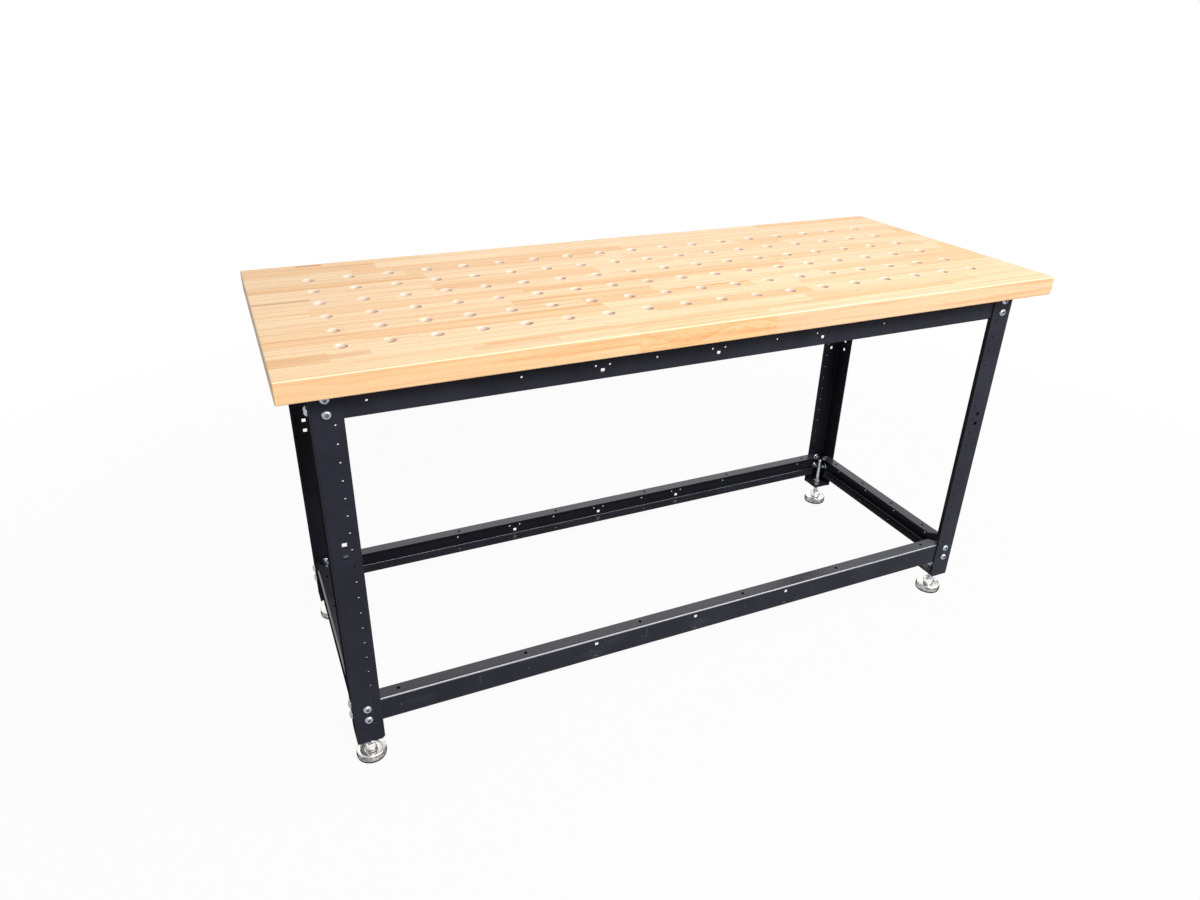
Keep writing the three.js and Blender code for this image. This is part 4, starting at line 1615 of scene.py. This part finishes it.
def bolt_rings(settings, steel):
    """A button-head bolt and its flange nut, from the head's socket down to the bolt's end."""
    head = settings.head_diameter / 2
    rod = settings.bolt_diameter / 2
    crown = BOLT_GAP + settings.head_height
    across = settings.socket_across
    socket_floor = crown - SOCKET_DEPTH
    grip = -(2 * steel.sheet + 3 * BOLT_GAP)
    flange = settings.nut_flange / 2
    nut = settings.nut_across
    nut_end = grip - settings.nut_height
    rings = [
        # Socket
        (0.0, socket_floor - 0.0006),
        (across, socket_floor, HEXAGON),
        (across, crown - 0.0003, HEXAGON),
        (across * 1.12, crown, HEXAGON),
        # Button head
        (head * 0.50, crown),
        (head * 0.66, crown - 0.0004),
        (head * 0.82, crown - 0.0013),
        (head * 0.94, crown - 0.0026),
        (head, crown - 0.0037),
        (head, BOLT_GAP),
        # Shank
        (rod, BOLT_GAP),
        (rod, grip),
        # Flange nut
        (flange, grip),
        (flange, grip - 0.0009),
        (flange * 0.93, grip - 0.0016),
        (nut * 1.02, grip - 0.0022, HEXAGON),
        (nut, grip - 0.0028, HEXAGON),
        (nut, nut_end + 0.0007, HEXAGON),
        (nut * 0.48, nut_end),
        (rod * 1.08, nut_end),
        (rod * 0.92, nut_end + 0.0007),
    ]
    pitch = settings.thread_pitch
    level = nut_end + 0.0002
    end = nut_end - BOLT_PAST_NUT
    while level - pitch > end:
        rings += [(rod, level - pitch * 0.35), (rod * 0.88, level - pitch * 0.85)]
        level -= pitch
    return [*rings, (rod * 0.86, end), (0.0, end)]


def place_fasteners(name, rows, shape, seed, material, nodes):
    """Puts a fastener on each point and makes them one piece."""
    fasteners = points_object(name, rows)
    values = {"Fastener": shape, "Seed": seed, "Finish": material}
    run_tree(fasteners, "Fasteners", fasteners_tree, values)
    remove_helper(shape)
    smooth(fasteners, FASTENER_CREASE)
    finish_piece(fasteners, "frame", nodes)


def make_bolts(settings, steel, name, material):
    """The eight bolts and nuts of one corner."""
    rows = []
    nodes = []
    kinds = itertools.product(("lower", "upper"), ("long", "short"), ("bottom", "top"))
    for level, rail, row in kinds:
        node = f"bolt_{name}_{level}_{rail}_{row}"
        axis = 1 if rail == "long" else 0
        side = CORNERS[name][axis]
        place = centre_of(node)
        place[axis] = side * BASE_SIZE[axis] / 2
        rows.append((place, side * Vector(AXES[axis]), UNIT_SIZE, False))
        nodes.append(node)
    bolt = turned_piece("bolt_shape", bolt_rings(settings, steel), FASTENER_SIDES)
    # The socket's inside is marked for painted shade, which darkens it
    recess = bolt.data.attributes.new("recess", "FLOAT", "POINT")
    within = settings.socket_across * 0.6
    for vertex, mark in zip(bolt.data.vertices, recess.data):
        mark.value = float(vertex.co.xy.length < within and vertex.co.z > 0.0)
    seed = settings.turn_seed + list(CORNERS).index(name)
    place_fasteners("bolts_" + name, rows, bolt, seed, material, nodes)


def screw_rings(settings):
    """A pan-head wood screw: head up, from the socket in its head to its point."""
    head = settings.screw_head / 2
    rod = settings.screw_diameter / 2
    level = -SCREW_NECK
    rings = [
        # Recess
        # Socket in the head
        (0.0, 0.0012),
        (head * 0.42, 0.0014, HEXAGON),
        (head * 0.46, 0.0030, HEXAGON),
        # Head and neck
        (head * 0.60, 0.0030),
        (head * 0.86, 0.0024),
        (head, 0.0012),
        (head, SCREW_GAP),
        (rod, SCREW_GAP),
        (rod, level),
    ]
    while level > -settings.screw_length + SCREW_TAPER:
        rings += [(rod * 0.72, level - 0.0011), (rod, level - SCREW_PITCH)]
        level -= SCREW_PITCH
    return [*rings, (0.0, -settings.screw_length)]


def make_screws(settings, steel, material):
    """The screws through the upper rails' top flanges into the top."""
    rows = []
    for name, (axis, side, _) in RAILS.items():
        if "upper" not in name:
            continue
        place = Vector((0.0, 0.0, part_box(name)[1].z - steel.sheet))
        place[axis] = side * (rail_face(name) - steel.rail_hole_from_web)
        for along in rail_hole_places(steel, axis):
            place[1 - axis] = along
            rows.append((place.copy(), (0.0, 0.0, -1.0), UNIT_SIZE, False))
    screw = turned_piece("screw_shape", screw_rings(settings), SCREW_SIDES)
    place_fasteners("top_screws", rows, screw, settings.turn_seed, material, [])


def make_plate_nut(settings, foot, name, material):
    """The plated nut on a leg's foot plate, which the stud runs through."""
    plate_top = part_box("leg_" + name)[0].z + settings.corner_cut + settings.plate_thickness
    bottom = plate_top + FIT_GAP
    top = bottom + settings.weld_nut_height
    across = settings.weld_nut_across
    bore = foot.stud_diameter / 2 + NUT_BORE_GAP
    rings = [
        (bore + 0.0006, bottom),
        (across * 0.48, bottom),
        (across * 0.985, bottom + 0.0008, HEXAGON),
        (across * 0.985, top - 0.0009, HEXAGON),
        (across * 0.47, top),
        (bore + 0.0008, top),
        (bore, top - 0.0008),
        (bore, bottom + 0.0006),
    ]
    centre = centre_of("foot_stud_" + name).xy
    nut = turned_piece("plate_nut_" + name, rings, FASTENER_SIDES, centre, hollow=True)
    finish_turned(nut, material, FASTENER_CREASE, "frame", [])


def make_stud(settings, name, material):
    """One threaded stud with its wrench hexagon."""
    node = "foot_stud_" + name
    low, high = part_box(node)
    centre = centre_of(node).xy
    radius = settings.stud_diameter / 2
    depth = settings.stud_pitch * RIDGE_SHARE
    core = radius - depth
    hexagon_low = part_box("foot_pad_" + name)[1].z + settings.wrench_above_hub
    hexagon_high = hexagon_low + settings.wrench_height
    across = settings.wrench_across
    rings = [
        # Lower end
        (0.0, low.z),
        (radius * 0.97, low.z),
        (radius * 0.97, hexagon_low),
        # Wrench hexagon
        (across * 0.46, hexagon_low),
        (across * 0.985, hexagon_low + 0.0007, HEXAGON),
        (across * 0.985, hexagon_high - 0.0007, HEXAGON),
        (across * 0.46, hexagon_high),
        # Core of the thread
        (core, hexagon_high),
        (core, high.z - 0.0012),
        (core * 0.74, high.z),
        (0.0, high.z),
    ]
    stud = turned_piece("stud_" + name, rings, FASTENER_SIDES, centre)
    start = hexagon_high + THREAD_START
    wound = high.z - THREAD_END - start
    values = {
        "Turns": wound / settings.stud_pitch,
        "Length": wound,
        "Core Radius": core,
        "Ridge": depth,
        "Centre": (*centre, start),
        "Finish": material,
    }
    run_tree(stud, "Threaded rod", threaded_rod_tree, values)
    smooth(stud, FASTENER_CREASE)
    finish_piece(stud, "stud_" + name, [node])


def make_pad(settings, name, material):
    """One dished foot pad with its rounded rim and hub."""
    node = "foot_pad_" + name
    low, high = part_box(node)
    rim_top = high.z - settings.hub_rise
    outer = (high.x - low.x) / 2
    lip = outer - settings.rim_taper
    inner = lip - settings.rim_round - settings.rim_edge
    hub = settings.hub_diameter / 2
    hub_foot = hub + 0.0025
    hub_top = settings.hub_top / 2
    floor = rim_top - settings.dish_depth
    bore = settings.stud_diameter / 2 + HUB_BORE_GAP
    bore_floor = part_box("foot_stud_" + name)[0].z - HUB_FLOOR_GAP
    notch = outer - settings.lip_width - NOTCH_GAP
    wall = low.z + settings.lip_height
    rings = [
        # Underside, with its notch for the sole's lip
        (0.0, low.z),
        (notch, low.z),
        (notch, wall),
        # Outer wall and the groove in it
        (outer - 0.0004, wall),
        (outer, wall + 0.0005),
        (outer - 0.0001, wall + 0.0036),
        (outer - 0.0005, wall + 0.0042),
        (outer - 0.0005, wall + 0.0048),
        (outer - 0.0002, wall + 0.0054),
    ]
    steps = 5
    edges = [(lip, settings.rim_round, 0), (inner + 2 * settings.rim_edge, settings.rim_edge, 90)]
    for edge, radius, start in edges:
        rings += arc((edge - radius, rim_top - radius), radius, start, start + 90, steps)
    # The dish falls off steeply inside the rim: share of the way to the hub and share of its depth
    for share, drop in ((0.03, 0.35), (0.07, 0.62), (0.13, 0.83), (0.22, 0.95), (0.35, 1.0)):
        rings.append((inner + (hub_foot - inner) * share, rim_top - settings.dish_depth * drop))
    rings += [
        # Hub
        (hub_foot, floor),
        (hub + 0.0010, floor + 0.0006),
        (hub + 0.0003, floor + 0.0022),
        (hub, rim_top),
        (hub - 0.0009, rim_top + 0.0030),
        (hub_top + 0.0008, high.z - 0.0016),
        (hub_top, high.z - 0.0004),
        (hub_top - 0.0006, high.z),
        # Bore for the stud
        (bore + 0.0006, high.z),
        (bore, high.z - 0.0006),
        (bore, bore_floor),
        (0.0, bore_floor),
    ]
    pad = turned_piece("pad_" + name, rings, settings.sides, centre_of(node).xy)
    finish_turned(pad, material, TURNED_CREASE, "foot_" + name, [node])


def make_rubber(settings, name, material):
    """One rubber sole with rounded edges and a lip round the pad."""
    node = "foot_rubber_" + name
    low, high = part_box(node)
    outer = (high.x - low.x) / 2
    ease = 0.0006
    inner_lip = outer - settings.lip_width
    lip_top = high.z + settings.lip_height - LIP_GAP
    rings = [
        (0.0, low.z),
        (outer - ease, low.z),
        (outer - ease * 0.3, low.z + ease * 0.3),
        (outer, low.z + ease),
        (outer, lip_top - ease * 0.5),
        (outer - ease * 0.5, lip_top),
        (inner_lip, lip_top),
        (inner_lip, high.z),
        (0.0, high.z),
    ]
    sole = turned_piece("sole_" + name, rings, settings.sides, centre_of(node).xy)
    finish_turned(sole, material, TURNED_CREASE, "foot_" + name, [node])


# Stage


def make_floor(settings):
    """A wide pale floor that looks white to the camera and keeps the table's soft shadow."""
    bm = bmesh.new()
    corners = ((-1, -1), (1, -1), (1, 1), (-1, 1))
    bm.faces.new([bm.verts.new((x * FLOOR_HALF, y * FLOOR_HALF, CAD_LOW.z)) for x, y in corners])
    floor = new_piece("studio_floor", bm)
    material, net, bsdf = new_material("floor_white")
    output = next(node for node in net.tree.nodes if node.type == "OUTPUT_MATERIAL")
    coordinates = net.place()
    faint = net.remap(net.noise(coordinates, 0.7), 0.3, 0.7, 0.0, 0.03)
    shade = net.mix(faint, settings.floor, FLOOR_PATCH)
    net.fill(bsdf, {"Base Color": shade, "Roughness": 0.9, "Specular IOR Level": 0.0})
    glow = net.node("ShaderNodeEmission", {"Color": opaque(WHITE), "Strength": 1.0})[0]
    white = net.ease(net.distance(coordinates), *FLOOR_FADE, settings.floor_glow, 1.0)
    share = net.times(net.looked_at(), white)
    mixed = net.node("ShaderNodeMixShader", {0: share, 1: bsdf.outputs[0], 2: glow})[0]
    net.fill(output, {"Surface": mixed})
    floor.data.materials.append(material)


def make_world(settings):
    """Even light from all round, white where the camera, gloss or glass looks straight at it."""
    world = bpy.context.scene.world or bpy.data.worlds.new("studio")
    bpy.context.scene.world = world
    world.use_nodes = True
    world.node_tree.nodes.clear()
    net = Net(world.node_tree)
    strength_seen = net.remap(net.looked_at(), 0.0, 1.0, settings.sky, 1.0)
    light = {"Color": opaque(WHITE), "Strength": strength_seen}
    glow = net.node("ShaderNodeBackground", light)[0]
    net.node("ShaderNodeOutputWorld", {"Surface": glow})


def make_lamp(name, power, size, place, target):
    """A large soft box that looks at a point. size is its width and height."""
    lamp = bpy.data.lights.new(name, "AREA")
    lamp.shape = "RECTANGLE"
    lamp.size, lamp.size_y = size
    lamp.energy = power
    made = new_object(name, lamp)
    made.location = place
    made.rotation_euler = (Vector(target) - Vector(place)).to_track_quat("-Z", "Y").to_euler()


def make_camera(settings):
    """The camera at the photograph's place."""
    data = bpy.data.cameras.new("camera")
    data.sensor_fit = "HORIZONTAL"
    data.sensor_width = SENSOR_WIDTH
    data.lens = settings.focal_length
    camera = new_object("camera", data)
    sin_heading, cos_heading = math.sin(settings.heading), math.cos(settings.heading)
    sin_pitch, cos_pitch = math.sin(settings.pitch), math.cos(settings.pitch)
    forward = Vector((sin_heading * cos_pitch, cos_heading * cos_pitch, -sin_pitch))
    level = Vector((cos_heading, -sin_heading, 0.0))
    upright = level.cross(forward)
    right = level * math.cos(settings.roll) + upright * math.sin(settings.roll)
    up = upright * math.cos(settings.roll) - level * math.sin(settings.roll)
    turn = Matrix((right, up, -forward)).transposed().to_4x4()
    camera.matrix_world = Matrix.Translation(settings.camera_place) @ turn
    bpy.context.scene.camera = camera


# Operators


class ASSEMBLYTABLE_OT_make_top(bpy.types.Operator):
    """Make the drilled hardwood top"""

    bl_idname = "assembly_table.make_top"
    bl_label = "Make Top"

    def execute(self, context):
        make_top(context.scene.assembly_table.top)
        return {"FINISHED"}


class ASSEMBLYTABLE_OT_make_legs(bpy.types.Operator):
    """Make the four bent steel legs"""

    bl_idname = "assembly_table.make_legs"
    bl_label = "Make Legs"

    def execute(self, context):
        table = context.scene.assembly_table
        finishes = bpy.data.materials
        coat = shared(finishes, "leg_coat", coat_material, table.steel, SCUFFS_ALONG_Z)
        for name in CORNERS:
            make_leg(table.steel, table.foot, name, coat)
        return {"FINISHED"}


class ASSEMBLYTABLE_OT_make_rails(bpy.types.Operator):
    """Make the eight bent steel rails"""

    bl_idname = "assembly_table.make_rails"
    bl_label = "Make Rails"

    def execute(self, context):
        steel = context.scene.assembly_table.steel
        finishes = bpy.data.materials
        long_coat = shared(finishes, "rail_coat", coat_material, steel, SCUFFS_ALONG_X, RAIL_RUBS)
        short_coat = shared(finishes, "side_rail_coat", coat_material, steel, SCUFFS_ALONG_Y)
        for name, (axis, _, _) in RAILS.items():
            make_rail(steel, name, long_coat if axis else short_coat)
        return {"FINISHED"}


class ASSEMBLYTABLE_OT_make_fasteners(bpy.types.Operator):
    """Make the frame bolts with their nuts, and the screws that hold the top"""

    bl_idname = "assembly_table.make_fasteners"
    bl_label = "Make Fasteners"

    def execute(self, context):
        table = context.scene.assembly_table
        zinc = shared(bpy.data.materials, "zinc_plating", zinc_material, table.hardware.zinc)
        for name in CORNERS:
            make_bolts(table.hardware, table.steel, name, zinc)
        make_screws(table.hardware, table.steel, zinc)
        return {"FINISHED"}


class ASSEMBLYTABLE_OT_make_feet(bpy.types.Operator):
    """Make the levelling feet: studs, plate nuts, pads and rubber soles"""

    bl_idname = "assembly_table.make_feet"
    bl_label = "Make Feet"

    def execute(self, context):
        table = context.scene.assembly_table
        foot = table.foot
        finishes = bpy.data.materials
        zinc = shared(finishes, "stud_plating", zinc_material, foot.stud_zinc)
        foot_place = centre_of("foot_pad_rear_right")
        nickel = shared(finishes, "nickel_plating", nickel_material, foot, foot_place)
        rubber = shared(finishes, "sole_rubber", rubber_material, foot)
        for name in CORNERS:
            make_stud(foot, name, zinc)
            make_plate_nut(table.steel, foot, name, zinc)
            make_pad(foot, name, nickel)
            make_rubber(foot, name, rubber)
        return {"FINISHED"}


class ASSEMBLYTABLE_OT_make_stage(bpy.types.Operator):
    """Make the floor, the light and the camera"""

    bl_idname = "assembly_table.make_stage"
    bl_label = "Make Stage"

    def execute(self, context):
        stage = context.scene.assembly_table.stage
        make_floor(stage)
        make_world(stage)
        for name, (size, place, target) in LAMPS.items():
            make_lamp(name + "_lamp", getattr(stage, name), size, place, target)
        make_camera(stage)
        context.scene.view_settings.view_transform = "Standard"
        return {"FINISHED"}


OPERATORS = (
    ASSEMBLYTABLE_OT_make_stage,
    ASSEMBLYTABLE_OT_make_top,
    ASSEMBLYTABLE_OT_make_legs,
    ASSEMBLYTABLE_OT_make_rails,
    ASSEMBLYTABLE_OT_make_fasteners,
    ASSEMBLYTABLE_OT_make_feet,
)


class ASSEMBLYTABLE_PT_panel(bpy.types.Panel):
    """Lists the table's pieces and their settings"""

    bl_label = "Assembly Table"
    bl_idname = "ASSEMBLYTABLE_PT_panel"
    bl_space_type = "VIEW_3D"
    bl_region_type = "UI"
    bl_category = "Assembly Table"

    def draw(self, context):
        table = context.scene.assembly_table
        for operator in OPERATORS:
            self.layout.operator(operator.bl_idname)
        for title, group in (
            ("Top", table.top),
            ("Steel", table.steel),
            ("Hardware", table.hardware),
            ("Feet", table.foot),
            ("Stage", table.stage),
        ):
            box = self.layout.box()
            box.label(text=title)
            for name in group.__annotations__:
                box.prop(group, name)


CLASSES = (
    TopSettings,
    SteelSettings,
    HardwareSettings,
    FootSettings,
    StageSettings,
    TableSettings,
    *OPERATORS,
    ASSEMBLYTABLE_PT_panel,
)


def register():
    """Makes the classes and the settings known to Blender."""
    for cls in CLASSES:
        bpy.utils.register_class(cls)
    bpy.types.Scene.assembly_table = PointerProperty(type=TableSettings)


def unregister():
    """Takes the classes and the settings away again."""
    del bpy.types.Scene.assembly_table
    for cls in reversed(CLASSES):
        bpy.utils.unregister_class(cls)


def main():
    """Makes the stage and all pieces."""
    register()
    bpy.ops.assembly_table.make_stage()
    bpy.ops.assembly_table.make_top()
    bpy.ops.assembly_table.make_legs()
    bpy.ops.assembly_table.make_rails()
    bpy.ops.assembly_table.make_fasteners()
    bpy.ops.assembly_table.make_feet()


if __name__ == "__main__":
    main()
